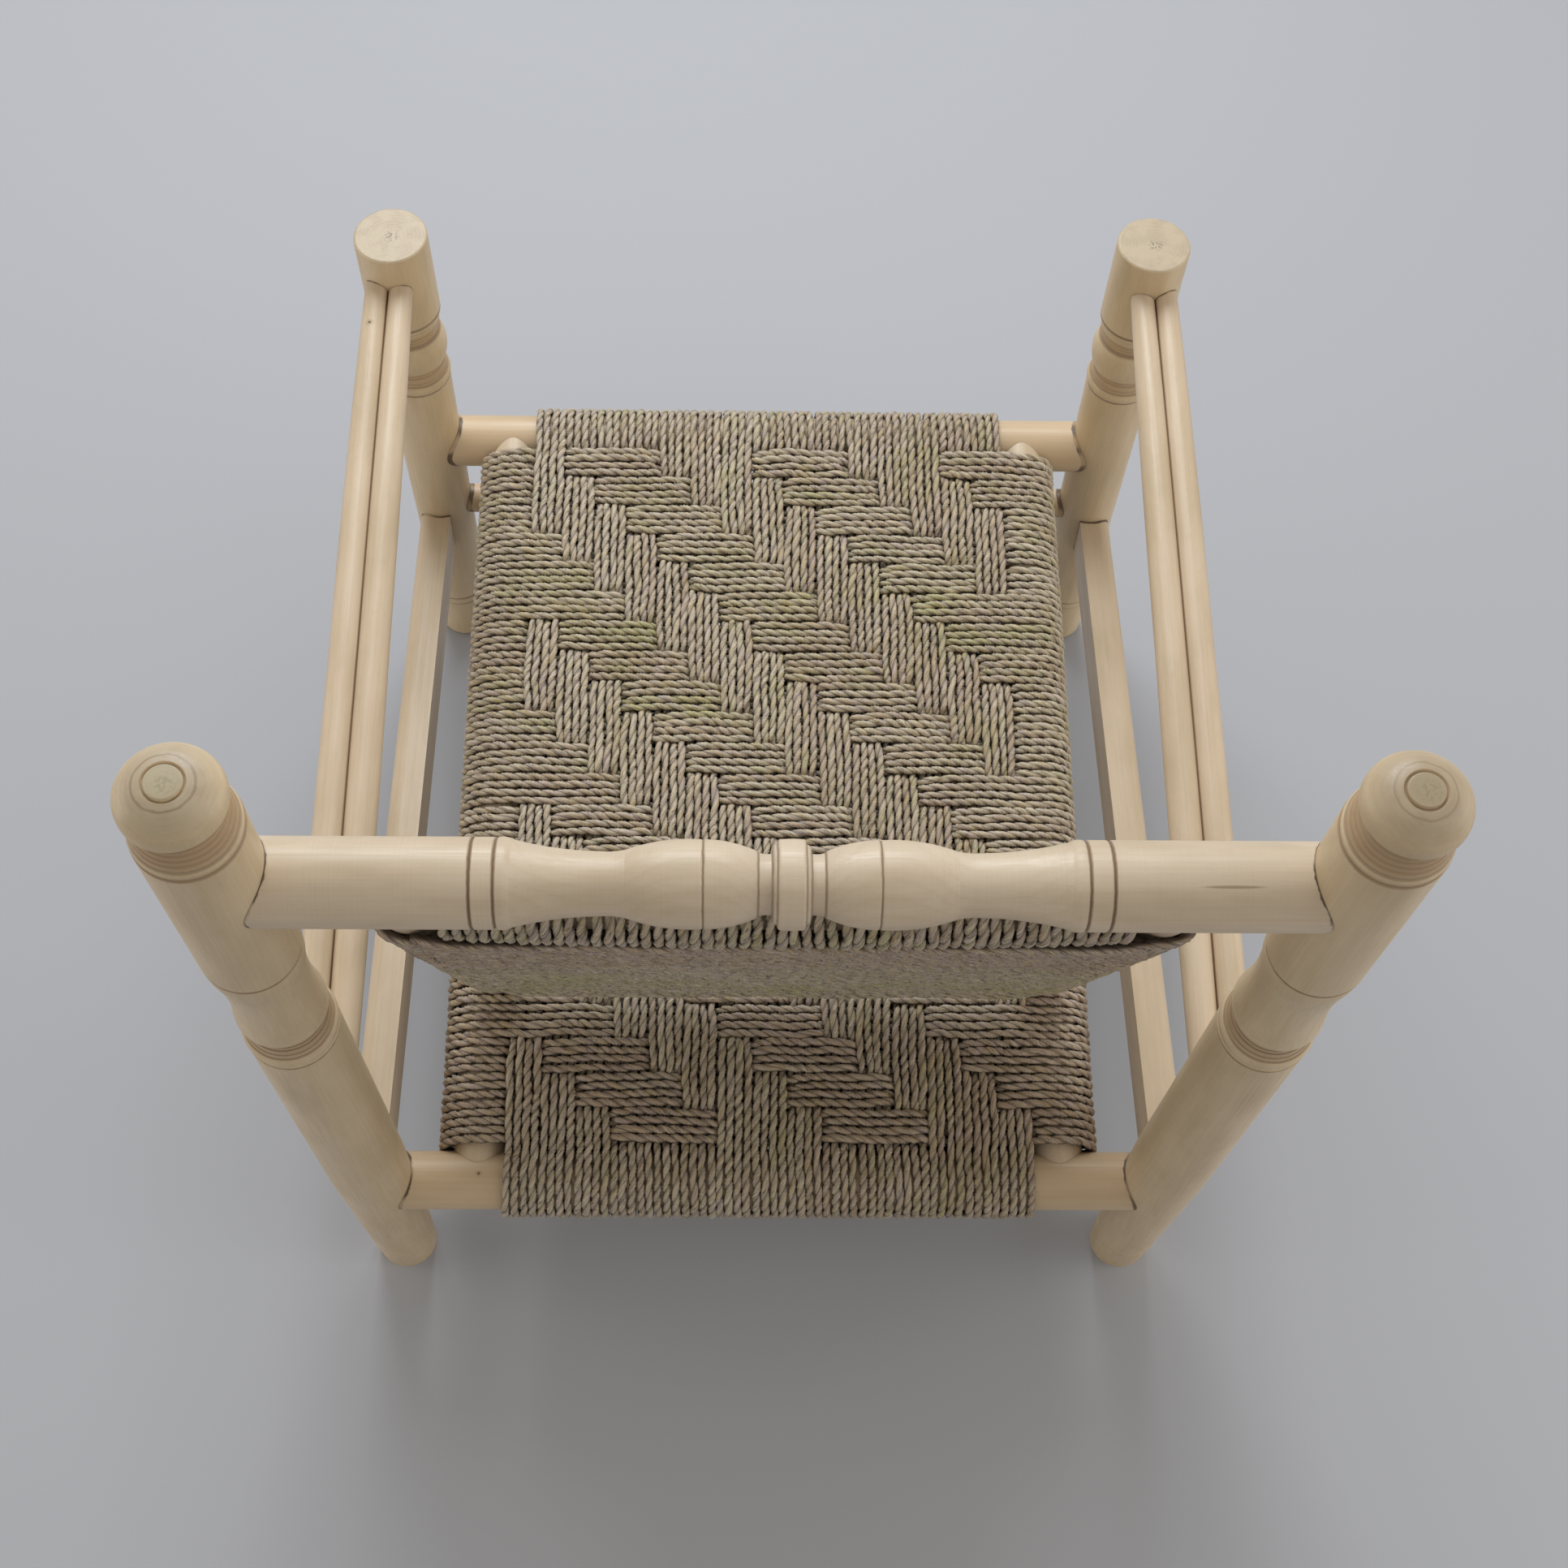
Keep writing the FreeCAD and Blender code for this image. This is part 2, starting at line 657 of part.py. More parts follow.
def arm_end(side, end, out):
    """A point at an arm's end: out is a share of half the spacing."""
    if end == "front":
        middle, spacing = f"{front_x('arm_front_height')} + arm_front_out", "arm_front_spacing"
        depth, height = "0", "arm_front_height"
    else:
        middle, spacing = "rear_foot_x + arm_rear_out", "arm_rear_spacing"
        depth, height = ARM_REAR_DEPTH, "arm_rear_height"
    return signed(side, f"{middle} + {out} * {spacing} / 2"), depth, height


def direction_between(start, end):
    """The direction from one point to another."""
    return tuple(f"({b}) - ({a})" for a, b in zip(start, end))


arms = {}
arm_holes = {side: [] for side in SIDES}
for side, turn in SIDES.items():
    middle_start = arm_end(side, "front", 0)
    middle_direction = direction_between(middle_start, arm_end(side, "rear", 0))
    for lane, out in (("outer", 1), ("inner", -1)):
        name = f"arm_dowel_{lane}_{side}"
        start = arm_end(side, "front", out)
        direction = direction_between(start, arm_end(side, "rear", out))
        span = "sqrt(({}) ^ 2 + ({}) ^ 2 + ({}) ^ 2)".format(*direction)
        outline = [
            ("0", "0", 0),
            ("arm_front_r", "0", 0.0033),
            ("arm_middle_r", f"{span} / 2", 0.0028),
            ("arm_rear_r", span, 0),
            ("0", span, 0),
        ]
        place = placement(start, direction)
        spindle = turned(name + "_turning", outline, place)
        away = out * turn
        corner = "seat_gap / 2" if away < 0 else "0 - seat_gap / 2 - 2 * arm_middle_r"
        plane = block(
            name + "_plane", "2 * arm_middle_r", "4 * arm_middle_r", span,
            placement(middle_start, middle_direction, (corner, "0 - 2 * arm_middle_r", "0")),
        )
        shaped = cut(name, spindle, [plane, spaces["front", side], spaces["rear", side]])
        tenon_start = "tenon_stop"
        tenon = rod(
            name + "_tenons", "arm_tenon_r", f"{span} - 2 * {tenon_start}",
            placement(start, direction, ("0", "0", tenon_start)),
        )
        arms[lane, side] = fuse(name + "_whole", [shaped, tenon])
        arm_holes[side].append(
            rod(
                name + "_mortises", loosened("arm_tenon_r"), f"{span} - 2 * {tenon_start} + 2 * fit_gap",
                placement(start, direction, ("0", "0", f"{tenon_start} - fit_gap")),
            )
        )

# The side boards, with a softly rounded upper edge on the outside
BOARD_REAR_DEPTH = rear_depth("board_rear_top - board_depth / 2")
boards = {}
board_holes = {}
for side, turn in SIDES.items():
    name = f"side_board_{side}"
    inset = " - board_thickness" if turn > 0 else ""
    start = (signed(side, "board_front_x") + inset, "0", "board_front_top")
    end = (signed(side, "board_rear_x") + inset, BOARD_REAR_DEPTH, "board_rear_top")
    direction = direction_between(start, end)
    span = "sqrt(({}) ^ 2 + ({}) ^ 2 + ({}) ^ 2)".format(*direction)
    # The section's own Y points down, so its first row of corners is the top of the board
    outer_left = [("board_thickness - board_edge_r", "0", 0.207), ("board_thickness", "board_edge_r", 0)]
    outer_right = [("0", "board_edge_r", 0.207), ("board_edge_r", "0", 0)]
    if turn > 0:
        outline = [("0", "0", 0), *outer_left, ("board_thickness", "board_depth", 0), ("0", "board_depth", 0)]
    else:
        outline = [*outer_right, ("board_thickness", "0", 0), ("board_thickness", "board_depth", 0),
                   ("0", "board_depth", 0)]
    plank = padded_section(name + "_plank", outline, span, placement(start, direction))
    coped = cut(name, plank, [spaces["front", side], spaces["rear", side]])
    cheek = "(board_thickness - board_tenon_thickness) / 2"
    shoulder = "(board_depth - board_tenon_depth) / 2 - board_tenon_rise"
    tenon = block(
        name + "_tenons", "board_tenon_thickness", "board_tenon_depth", f"{span} - 2 * tenon_stop",
        placement(start, direction, (cheek, shoulder, "tenon_stop")),
    )
    boards[side] = fuse(name + "_whole", [coped, tenon])
    board_holes[side] = block(
        name + "_mortises", "board_tenon_thickness + 2 * fit_gap", "board_tenon_depth + 2 * fit_gap",
        f"{span} - 2 * tenon_stop + 2 * fit_gap",
        placement(start, direction, (f"{cheek} - fit_gap", f"{shoulder} - fit_gap", "tenon_stop - fit_gap")),
    )

# The posts, cut off at the floor and mortised for all that they hold
floor = block(
    "floor_cut", "4 * rear_foot_x", "2 * rear_foot_depth", "2 * overrun",
    placement(("0 - 2 * rear_foot_x", "0 - rear_foot_depth / 2", "0 - 2 * overrun"), ("0", "0", "1")),
)
finished_posts = {}
for side in SIDES:
    finished_posts["front", side] = cut(
        f"front_post_{side}", posts["front", side],
        [floor, front_rail_hole, stretcher_hole, board_holes[side], *arm_holes[side]],
    )
    finished_posts["rear", side] = cut(
        f"rear_post_{side}", posts["rear", side],
        [floor, rear_rail_hole, crest_holes[side], board_holes[side], *arm_holes[side]],
    )


def sheet_block(name, half_width, half_height, start, end, line):
    """A flat block that lies along a woven panel's middle plane."""
    place, direction = line
    corner = (f"0 - ({half_width})", f"0 - ({half_height})", start)
    return block(
        name, f"2 * ({half_width})", f"2 * ({half_height})", f"({end}) - ({start})",
        placement(place, direction, corner),
    )


def warp_belt(name, half_width, rail_r, low, high, line, span):
    """The belt of cords round two rails that lie across the chair."""
    shells = {}
    for layer, radius in (("outside", f"({rail_r} + seat_gap + cord_layer)"), ("inside", f"({rail_r} + seat_gap)")):
        half = half_width if layer == "outside" else f"({half_width} + overrun)"
        shells[layer] = fuse(
            f"{name}_{layer}",
            [
                across(f"{name}_{layer}_low", radius, f"0 - {half}", half, *low),
                across(f"{name}_{layer}_high", radius, f"0 - {half}", half, *high),
                sheet_block(f"{name}_{layer}_flat", half, radius, "0", span, line),
            ],
        )
    return cut(name, shells["outside"], [shells["inside"]])


def weft_belt(name, bar_x, bar_r, rail_r, line, span):
    """The belt of cords round two bars that run up the panel, flat under the warps."""
    place, direction = line
    start = f"({rail_r} + seat_gap)"
    shells = {}
    for layer, radius, half_height, more in (
        ("outside", f"({bar_r} + seat_gap + cord_layer)", f"({rail_r} - seat_gap)", "0"),
        ("inside", f"({bar_r} + seat_gap)", f"({rail_r} - seat_gap - cord_layer)", "overrun"),
    ):
        first = f"({start} - {more})"
        last = f"({span} - {start} + {more})"
        bars = [
            rod(
                f"{name}_{layer}_bar_{side}", radius, f"{last} - {first}",
                placement((signed(side, bar_x), place[1], place[2]), direction, ("0", "0", first)),
            )
            for side in SIDES
        ]
        flat = sheet_block(f"{name}_{layer}_flat", bar_x, half_height, first, last, line)
        shells[layer] = fuse(f"{name}_{layer}", [*bars, flat])
    return cut(name, shells["outside"], [shells["inside"]])


SEAT_LINE = (("0", "0", "front_rail_height"), SEAT_DIRECTION)
BACK_LINE = (("0", "back_low_depth", "back_low_height"), BACK_DIRECTION)
seat_warp = warp_belt(
    "seat_warp", "warp_half_width", "seat_rail_r", ("0", "front_rail_height"),
    (REAR_RAIL_DEPTH, "rear_rail_height"), SEAT_LINE, SEAT_LENGTH,
)
back_warp = warp_belt(
    "back_warp", "back_warp_half_width", "back_rail_r", ("back_low_depth", "back_low_height"),
    (BACK_TOP_DEPTH, BACK_TOP_HEIGHT), BACK_LINE, BACK_LENGTH,
)
stile_clearances = [
    on_stile(f"stile_clearance_{side}", side, "stile_foot_tenon_r + seat_gap", "0", "stile_shoulder")
    for side in SIDES
]
seat_weft = cut(
    "seat_weft_parted",
    weft_belt("seat_weft", "side_rail_x", "side_rail_r", "seat_rail_r", SEAT_LINE, SEAT_LENGTH),
    stile_clearances,
)
back_weft = weft_belt("back_weft", "stile_x", "stile_r", "back_rail_r", BACK_LINE, BACK_LENGTH)

NODES = {
    "crest_rail": crest_rail,
    "seat_front_rail": seat_front_rail,
    "seat_rear_rail": seat_rear_rail,
    "lower_front_stretcher": lower_front_stretcher,
    "seat_warp": seat_warp,
    "seat_weft": seat_weft,
    "back_warp": back_warp,
    "back_weft": back_weft,
    **back_rails,
    **{f"{which}_post_{side}": piece for (which, side), piece in finished_posts.items()},
    **{f"seat_side_rail_{side}": piece for side, piece in side_rails.items()},
    **{f"back_stile_{side}": piece for side, piece in stiles.items()},
    **{f"side_board_{side}": piece for side, piece in boards.items()},
    **{f"arm_dowel_{lane}_{side}": piece for (lane, side), piece in arms.items()},
}

doc.recompute()
for name, piece in NODES.items():
    piece.Label = name
failed = [item.Name for item in doc.Objects if "Invalid" in item.State or "Error" in item.State]
if failed:
    raise RuntimeError("Objects that failed: " + ", ".join(failed))
for name, piece in NODES.items():
    shape = piece.Shape
    if shape.isNull() or not shape.isValid() or len(shape.Solids) != 1:
        raise RuntimeError(f"{name} isn't one sound solid: {len(shape.Solids)}")

os.makedirs("parts", exist_ok=True)
for name, piece in NODES.items():
    piece.Shape.exportStep(os.path.join("parts", name + ".step"))
    box = piece.Shape.BoundBox
    print(f"{name}: {box.XLength:.1f} x {box.YLength:.1f} x {box.ZLength:.1f}, {piece.Shape.Volume / 1000:.0f} cm3")
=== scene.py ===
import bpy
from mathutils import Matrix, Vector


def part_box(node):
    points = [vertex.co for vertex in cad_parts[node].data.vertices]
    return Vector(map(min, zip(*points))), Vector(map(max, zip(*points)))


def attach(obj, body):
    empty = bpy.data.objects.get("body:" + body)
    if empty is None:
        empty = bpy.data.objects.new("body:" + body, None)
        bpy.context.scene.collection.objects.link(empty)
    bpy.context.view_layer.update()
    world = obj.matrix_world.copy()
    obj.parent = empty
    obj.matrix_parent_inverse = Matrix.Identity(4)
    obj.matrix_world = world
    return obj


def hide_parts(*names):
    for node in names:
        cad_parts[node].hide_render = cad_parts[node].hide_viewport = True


bl_info = {
    "name": "Turned Armchair with Woven Cord",
    "version": (1, 0, 0),
    "blender": (4, 5, 0),
    "location": "View3D > Sidebar > Chair",
    "description": "Finishes a low turned armchair: grained wood and a seat and back woven in twisted cord",
    "category": "Object",
}

import math

import bpy
import numpy as np
from mathutils import Matrix, Vector

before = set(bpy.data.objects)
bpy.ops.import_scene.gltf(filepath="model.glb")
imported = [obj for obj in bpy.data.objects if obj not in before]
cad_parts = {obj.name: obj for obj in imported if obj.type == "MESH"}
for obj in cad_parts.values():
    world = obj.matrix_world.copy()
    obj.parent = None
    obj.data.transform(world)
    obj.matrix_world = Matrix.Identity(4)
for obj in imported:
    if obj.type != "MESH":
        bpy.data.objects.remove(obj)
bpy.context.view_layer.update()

MM = 0.001
SIDES = ("left", "right")
ALONG_X = (1.0, 0.0, 0.0)
RIGHT_ANGLE = math.pi / 2
FULL_TURN = 2.0 * math.pi


# Places read from the frame

def corners(node):
    """The lowest and the highest corner of a node of the frame."""
    low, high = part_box(node)
    return np.array(low, float), np.array(high, float)


def rail_line(node):
    """The middle point and the radius of a round rail that lies along X."""
    low, high = corners(node)
    middle = (low + high) / 2
    return np.array([0.0, middle[1], middle[2]]), (high[2] - low[2]) / 2


def bar_line(node):
    """How far a bar stands from the middle of the chair, and its radius."""
    low, high = corners(node)
    return abs(low[0] + high[0]) / 2, (high[0] - low[0]) / 2


def unit(vector):
    """The vector at length one."""
    return np.asarray(vector, float) / np.linalg.norm(vector)


class WovenPanel:
    """A woven panel's plane: two rails across it and two bars up its sides."""

    def __init__(self, name, first_rail, last_rail, bar):
        self.name = name
        self.start, self.rail_r = rail_line(first_rail)
        end, _ = rail_line(last_rail)
        self.length = float(np.linalg.norm(end - self.start))
        self.along = unit(end - self.start)
        self.normal = np.cross(ALONG_X, self.along)
        self.bar_x, self.bar_r = bar_line(bar)

    def place(self, across, along, out):
        """Points of the chair's frame from places across, along and out of the panel."""
        across, along, out = np.broadcast_arrays(across, along, out)
        points = self.start + along[..., None] * self.along + out[..., None] * self.normal
        points[..., 0] += across
        return points


SEAT = WovenPanel("seat", "seat_front_rail", "seat_rear_rail", "seat_side_rail_left")
BACK = WovenPanel("back", "back_bottom_rail", "back_top_rail", "back_stile_left")


# Sizes and colours that a user would change

def length_property(name, description, default):
    """A setting that is a length."""
    return bpy.props.FloatProperty(name=name, description=description, default=default, unit="LENGTH")


def count_property(name, description, default):
    """A setting that is a whole number."""
    return bpy.props.IntProperty(name=name, description=description, default=default)


def colour_property(name, description, default):
    """A setting that is a colour."""
    return bpy.props.FloatVectorProperty(
        name=name, description=description, subtype="COLOR", default=default)


class CordSettings(bpy.types.PropertyGroup):
    """The cord and how it is woven."""
    diameter: length_property("Cord Diameter", "Thickness of the twisted cord", 7.5 * MM)
    lay: length_property("Lay", "Length of one full turn of the two plies", 26 * MM)
    valley: bpy.props.FloatProperty(
        name="Valley", description="Radius between the plies, as a share of the cord's radius",
        default=0.71, subtype="FACTOR")
    group: count_property("Strands in a Group", "Strands that lie side by side in the twill", 4)
    float_groups: count_property("Float", "Groups that a float passes over", 3)
    seat_groups: count_property("Seat Groups", "Groups of strands from front to rear", 15)
    seat_rows: count_property("Seat Rows", "Rows of strands across the seat", 22)
    seat_repeat: count_property("Repeated Row", "The row of the seat that is woven twice alike", 16)
    back_groups: count_property("Back Groups", "Groups of strands up the back", 14)
    back_rows: count_property("Back Rows", "Rows of strands across the back", 16)
    seat_half_width: length_property(
        "Seat Half Width", "Half the width of the strands from front to rear", 219.8 * MM)
    back_half_width: length_property(
        "Back Half Width", "Half the width of the strands up the back", 205.3 * MM)
    beige: colour_property("Beige", "Main colour of the dried fibre", (0.54, 0.462, 0.345))
    green: colour_property("Green", "Colour of the greener strands", (0.43, 0.405, 0.19))
    brown: colour_property("Brown", "Colour of the darker strands", (0.40, 0.28, 0.205))


class WoodSettings(bpy.types.PropertyGroup):
    """The bare turned wood."""
    pale: colour_property("Pale Wood", "Lightest colour of the grain", (0.66, 0.545, 0.41))
    deep: colour_property("Deep Wood", "Darkest colour of the grain", (0.53, 0.405, 0.265))
    burnt: colour_property(
        "Burnt Line", "Colour of the lines that the turner burnt in", (0.20, 0.115, 0.055))
    end_grain: colour_property(
        "End Grain", "Colour of wood cut across the grain", (0.46, 0.385, 0.30))


class StageSettings(bpy.types.PropertyGroup):
    """The floor, the light and the camera."""
    floor: colour_property("Floor", "Colour of the plain floor", (0.445, 0.45, 0.485))
    world: bpy.props.FloatProperty(
        name="World Light", description="Strength of the light from all round", default=0.45)
    key: bpy.props.FloatProperty(
        name="Key Light", description="Power of the large lamp above the front",
        default=79.0, subtype="POWER")


# Paths of the strands

# The space between points along a strand, on the face and on the hidden side
FINE_STEP = 2.8 * MM
COARSE_STEP = 4.6 * MM
# The length in which a strand goes from over to under, and its rise in cord radii
DIP = 12 * MM
RISE_RADII = 0.93
# How far a float bulges at its middle, and the length in which it does
CROWN = 1.1 * MM
CROWN_LENGTH = 5 * DIP
# How far the strands' crossings are out of line, and the gap before the first row
UNEVEN = 1.3 * MM
ROW_GAP = 0.2 * MM
# How far the seat's wefts stand out past the side rails, at the front and the rear
SPREAD = np.array([1.5, 6.0]) * MM
# How far hidden strands are drawn in between the rails, and the length in which they are
PRESS = 5.0 * MM
PRESS_LENGTH = 60 * MM
# How far out the hidden wefts lie in cord radii, and the length in which they get there
HIDDEN_RADII = 1.86
HIDDEN_LENGTH = 8 * MM
# How far strands stand off the back's top rail, and the length in which they do
SLACK = 4.5 * MM
SLACK_LENGTH = 60 * MM
# How much a bundle is drawn to its middle, and the length at its ends where it is less
GATHER = 0.09
EVEN_LENGTH = 70 * MM
# How far strands wander: outward, and sideways as a bundle, alone and in quicker waves
LIFT = 0.7 * MM
BUNDLE_SWAY = 1.3 * MM
STRAND_SWAY = 0.8 * MM
QUICK_SWAY = 0.45 * MM
QUICK_RATE = 3.0
# The shortest and the longest wave in metres, and how many are added
SHORT_WAVE = 0.04
LONG_WAVE = 0.22
WAVES = 4
# What keeps a distance from being nothing
SPECK = 0.01 * MM



def smooth_step(value):
    """Three squares less two cubes of the value held between zero and one."""
    value = np.clip(value, 0.0, 1.0)
    return value * value * (3.0 - 2.0 * value)


def waver(rng, strands, place, size):
    """A slow random line for each strand: a sum of sines of random length and phase."""
    total = np.zeros((strands, len(place)))
    for _ in range(WAVES):
        length = rng.uniform(SHORT_WAVE, LONG_WAVE, (strands, 1))
        phase = rng.uniform(0.0, FULL_TURN, (strands, 1))
        total += np.sin(FULL_TURN * place[None, :] / length + phase)
    return total * size / WAVES


def stepped(levels, place, pitch, width, outside, shift):
    """Levels over cells of one pitch, joined by smooth steps of a width at each border.

    Each strand's borders are off by its own shift.
    """
    strands, cells = levels.shape
    edge = np.full((strands, 1), outside)
    padded = np.concatenate([edge, levels, edge], axis=1)
    place = place[None, :] + shift[:, None]
    border = np.clip(np.round(place / pitch), 0, cells).astype(int)
    before = np.take_along_axis(padded, border, axis=1)
    after = np.take_along_axis(padded, border + 1, axis=1)
    return before + (after - before) * smooth_step((place - border * pitch) / width + 0.5)


def steps_between(start, end, step):
    """Evenly spaced places from start up to but without end."""
    count = max(2, int(round(abs(end - start) / step)))
    return np.linspace(start, end, count, endpoint=False)


def joined(strands, *runs):
    """Runs of places end to end; a run of one row is the same on every strand."""
    return np.concatenate([np.broadcast_to(run, (strands, run.shape[-1])) for run in runs], axis=1)


def pressed(panel, along):
    """How far the hidden side's strands are drawn in, away from the rails."""
    return PRESS * smooth_step(np.minimum(along, panel.length - along) / PRESS_LENGTH)


def slack(panel, across, along, half):
    """How far strands stand off the back's top rail, behind it and most at the middle."""
    if panel is SEAT:
        return 0.0
    reach = np.clip(1.0 - (across / half) ** 2, 0.0, 1.0)
    return SLACK * reach * smooth_step((along - panel.length + SLACK_LENGTH) / SLACK_LENGTH)


def sway(rng, bundle, place):
    """How far each strand wanders sideways: a part shared by its bundle and a part of its own."""
    shared = waver(rng, bundle.max() + 1, place, BUNDLE_SWAY)[bundle]
    alone = waver(rng, len(bundle), place, STRAND_SWAY)
    return shared + alone + waver(rng, len(bundle), place * QUICK_RATE, QUICK_SWAY)


class Weave:
    """The counts, pitches and levels of a panel's weave."""

    def __init__(self, panel, cords):
        seat = panel is SEAT
        self.group, self.span = cords.group, cords.float_groups
        self.groups = cords.seat_groups if seat else cords.back_groups
        self.rows = cords.seat_rows if seat else cords.back_rows
        self.repeat = cords.seat_repeat if seat else self.rows
        self.half = cords.seat_half_width if seat else cords.back_half_width
        self.spread = SPREAD if seat else np.zeros(2)
        self.radius = cords.diameter / 2
        self.edge = panel.rail_r + ROW_GAP
        self.middle = panel.rail_r
        self.rise = RISE_RADII * self.radius
        self.rail_wrap = panel.rail_r + self.radius
        self.bar_wrap = panel.bar_r + self.radius
        self.strand_pitch = 2 * self.half / (self.groups * self.group)
        self.row_pitch = (panel.length - 2 * self.edge) / self.rows

    def weft_over(self, group, number):
        """True where a row lies over a group, in a twill that moves one group each row.

        Past the repeated row, a row follows the twill's row before its own.
        """
        row = number - (number > self.repeat)
        return np.mod(group - row, 2 * self.span) < self.span

    def face(self, levels, place, pitch, rng):
        """How far out strands lie on the face, and a slower curve of their levels."""
        uneven = rng.normal(0.0, UNEVEN, len(levels))
        over = stepped(levels, place, pitch, DIP, 1.0, uneven)
        crown = stepped(levels, place, pitch, CROWN_LENGTH, 0.0, uneven)
        return self.middle + self.rise * over + CROWN * crown, crown

    def drawn_in(self, number, pitch, crown, to_end):
        """How far each strand of a bundle is drawn to its middle, most where the bundle dips.

        Nothing is drawn in at the ends of the face, where strands lie evenly on the rails.
        """
        from_middle = np.mod(number, self.group) - (self.group - 1) / 2
        near = smooth_step(to_end / EVEN_LENGTH)[None, :]
        return from_middle[:, None] * pitch * GATHER * (1.0 - crown ** 2) * near


def moved_over(turn, face, hidden, pitch):
    """How far a strand has moved over at each point: by one pitch along the hidden run."""
    still = np.zeros(len(turn) * 2 + len(face))
    return np.concatenate([still, np.linspace(0.0, pitch, len(hidden), endpoint=False)])


def warp_paths(panel, weave, rng):
    """Strands wound round the two rails, over and under the rows on the face.

    Across is fixed on the face. Along and out follow a half circle round each rail,
    the twill's steps on the face and a straight run on the hidden side, where the
    strand moves over by one pitch.
    """
    strands = weave.groups * weave.group
    number = np.arange(strands)
    bundle = number // weave.group
    rows = np.arange(1, weave.rows + 1)
    levels = np.where(weave.weft_over(bundle[:, None], rows[None, :]), -1.0, 1.0)
    wrap = weave.rail_wrap
    turn = steps_between(-RIGHT_ANGLE, RIGHT_ANGLE, FINE_STEP / wrap)
    face = steps_between(0.0, panel.length, FINE_STEP)
    hidden = steps_between(panel.length, 0.0, COARSE_STEP)
    out_face, crown = weave.face(levels, face - weave.edge, weave.row_pitch, rng)
    to_rail = np.minimum(face, panel.length - face)
    out_face = wrap + (out_face - wrap) * smooth_step(to_rail / weave.edge)
    reach, side = np.cos(turn) * wrap, np.sin(turn) * wrap
    along = joined(strands, -reach, face, panel.length + reach, hidden)
    out = joined(strands, side, out_face, -side, pressed(panel, hidden) - wrap)
    start = weave.half - (number + 0.5) * weave.strand_pitch
    across = start[:, None] - moved_over(turn, face, hidden, weave.strand_pitch)
    across[:, len(turn):len(turn) + len(face)] += weave.drawn_in(
        number, weave.strand_pitch, crown, to_rail)
    out = out - slack(panel, across, along, weave.half)
    place = np.arange(across.shape[1]) * FINE_STEP
    across = across + sway(rng, bundle, place)
    out = out + waver(rng, strands, place, LIFT)
    return panel.place(across, along, out)


def weft_paths(panel, weave, rng, posts=()):
    """Strands wound round the two bars, over and under the groups on the face.

    Along is fixed on the face. Across and out follow a half circle round each bar,
    the twill's steps on the face, and on the hidden side a run outside the other
    strands. A strand goes round each post that stands through the panel: its distance
    from the post becomes the cube root of the sum of its cube and the room's.
    """
    strands = weave.rows * weave.group
    number = np.arange(strands)
    bundle = number // weave.group
    pitch = weave.row_pitch / weave.group
    start = weave.edge + (number + 0.5) * pitch
    groups = np.arange(weave.groups)
    levels = np.where(weave.weft_over(groups[None, :], bundle[:, None] + 1), 1.0, -1.0)
    wrap = weave.bar_wrap
    turn = steps_between(-RIGHT_ANGLE, RIGHT_ANGLE, FINE_STEP / wrap)
    face = steps_between(panel.bar_x, -panel.bar_x, FINE_STEP)
    hidden = steps_between(-panel.bar_x, panel.bar_x, FINE_STEP if panel is BACK else COARSE_STEP)
    out_face, crown = weave.face(levels, weave.half - face, weave.group * weave.strand_pitch, rng)
    margin = panel.bar_x - weave.half
    out_face = out_face + (wrap - out_face) * smooth_step((np.abs(face) - weave.half) / margin)
    inside = smooth_step((panel.bar_x - np.abs(hidden)) / (margin + HIDDEN_LENGTH))
    depth = weave.rail_wrap + HIDDEN_RADII * weave.radius - pressed(panel, start)
    out_hidden = -(wrap + (depth[:, None] - wrap) * inside[None, :])
    looser = 1.0 + np.interp(start, (0.0, panel.length), weave.spread)[:, None] / wrap
    reach, side = looser * (np.cos(turn) * wrap)[None, :], np.sin(turn) * wrap
    across = joined(strands, panel.bar_x + reach, face, -panel.bar_x - reach, hidden)
    out = joined(strands, side, out_face, -side, out_hidden)
    along = start[:, None] + moved_over(turn, face, hidden, pitch)
    along[:, len(turn):len(turn) + len(face)] -= weave.drawn_in(
        number, pitch, crown, weave.half - np.abs(face))
    place = np.arange(along.shape[1]) * FINE_STEP
    along = along + sway(rng, bundle, place)
    out = out + waver(rng, strands, place, LIFT)
    for post_x, post_along, room in posts:
        off_x, off_along = across - post_x, along - post_along
        distance = np.hypot(off_x, off_along) + SPECK
        push = np.where(out > 0, np.cbrt(distance ** 3 + room ** 3) / distance, 1.0)
        across, along = post_x + off_x * push, post_along + off_along * push
    return panel.place(across, along, out)


# Cord surfaces

PIECE_TRIANGLES = 185000
# The corners of the cord's section, in degrees, and how blunt its two plies are
PLY_CORNERS = (0, 42, 90, 138, 180, 222, 270, 318)
PLY_BLUNTNESS = 0.9
# The mean of the tints, and how much they vary by strand and along it
TINT_MEAN = 0.36
TINT_BY_STRAND = 0.34
TINT_ALONG = 0.50
# How far the twist runs ahead, how much the thickness varies by strand and along it, and
# the thinnest and thickest share
TWIST_AHEAD = 2.4
THICKNESS_BY_STRAND = 0.05
THICKNESS_ALONG = 0.11
THICKNESS_LIMITS = (0.82, 1.15)


def ring_faces(rings, around):
    """The number of each point of a tube's rings, and the faces between the rings."""
    index = np.arange(rings * around).reshape(rings, around)
    after = np.roll(index, -1, axis=1)
    return index, np.stack([index[:-1], after[:-1], after[1:], index[1:]], axis=-1).reshape(-1, 4)


def placed(name, mesh, material):
    """A mesh with its material, put into the scene as a piece of the chair."""
    mesh.materials.append(material)
    piece = bpy.data.objects.new(name, mesh)
    bpy.context.scene.collection.objects.link(piece)
    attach(piece, "root")
    return piece



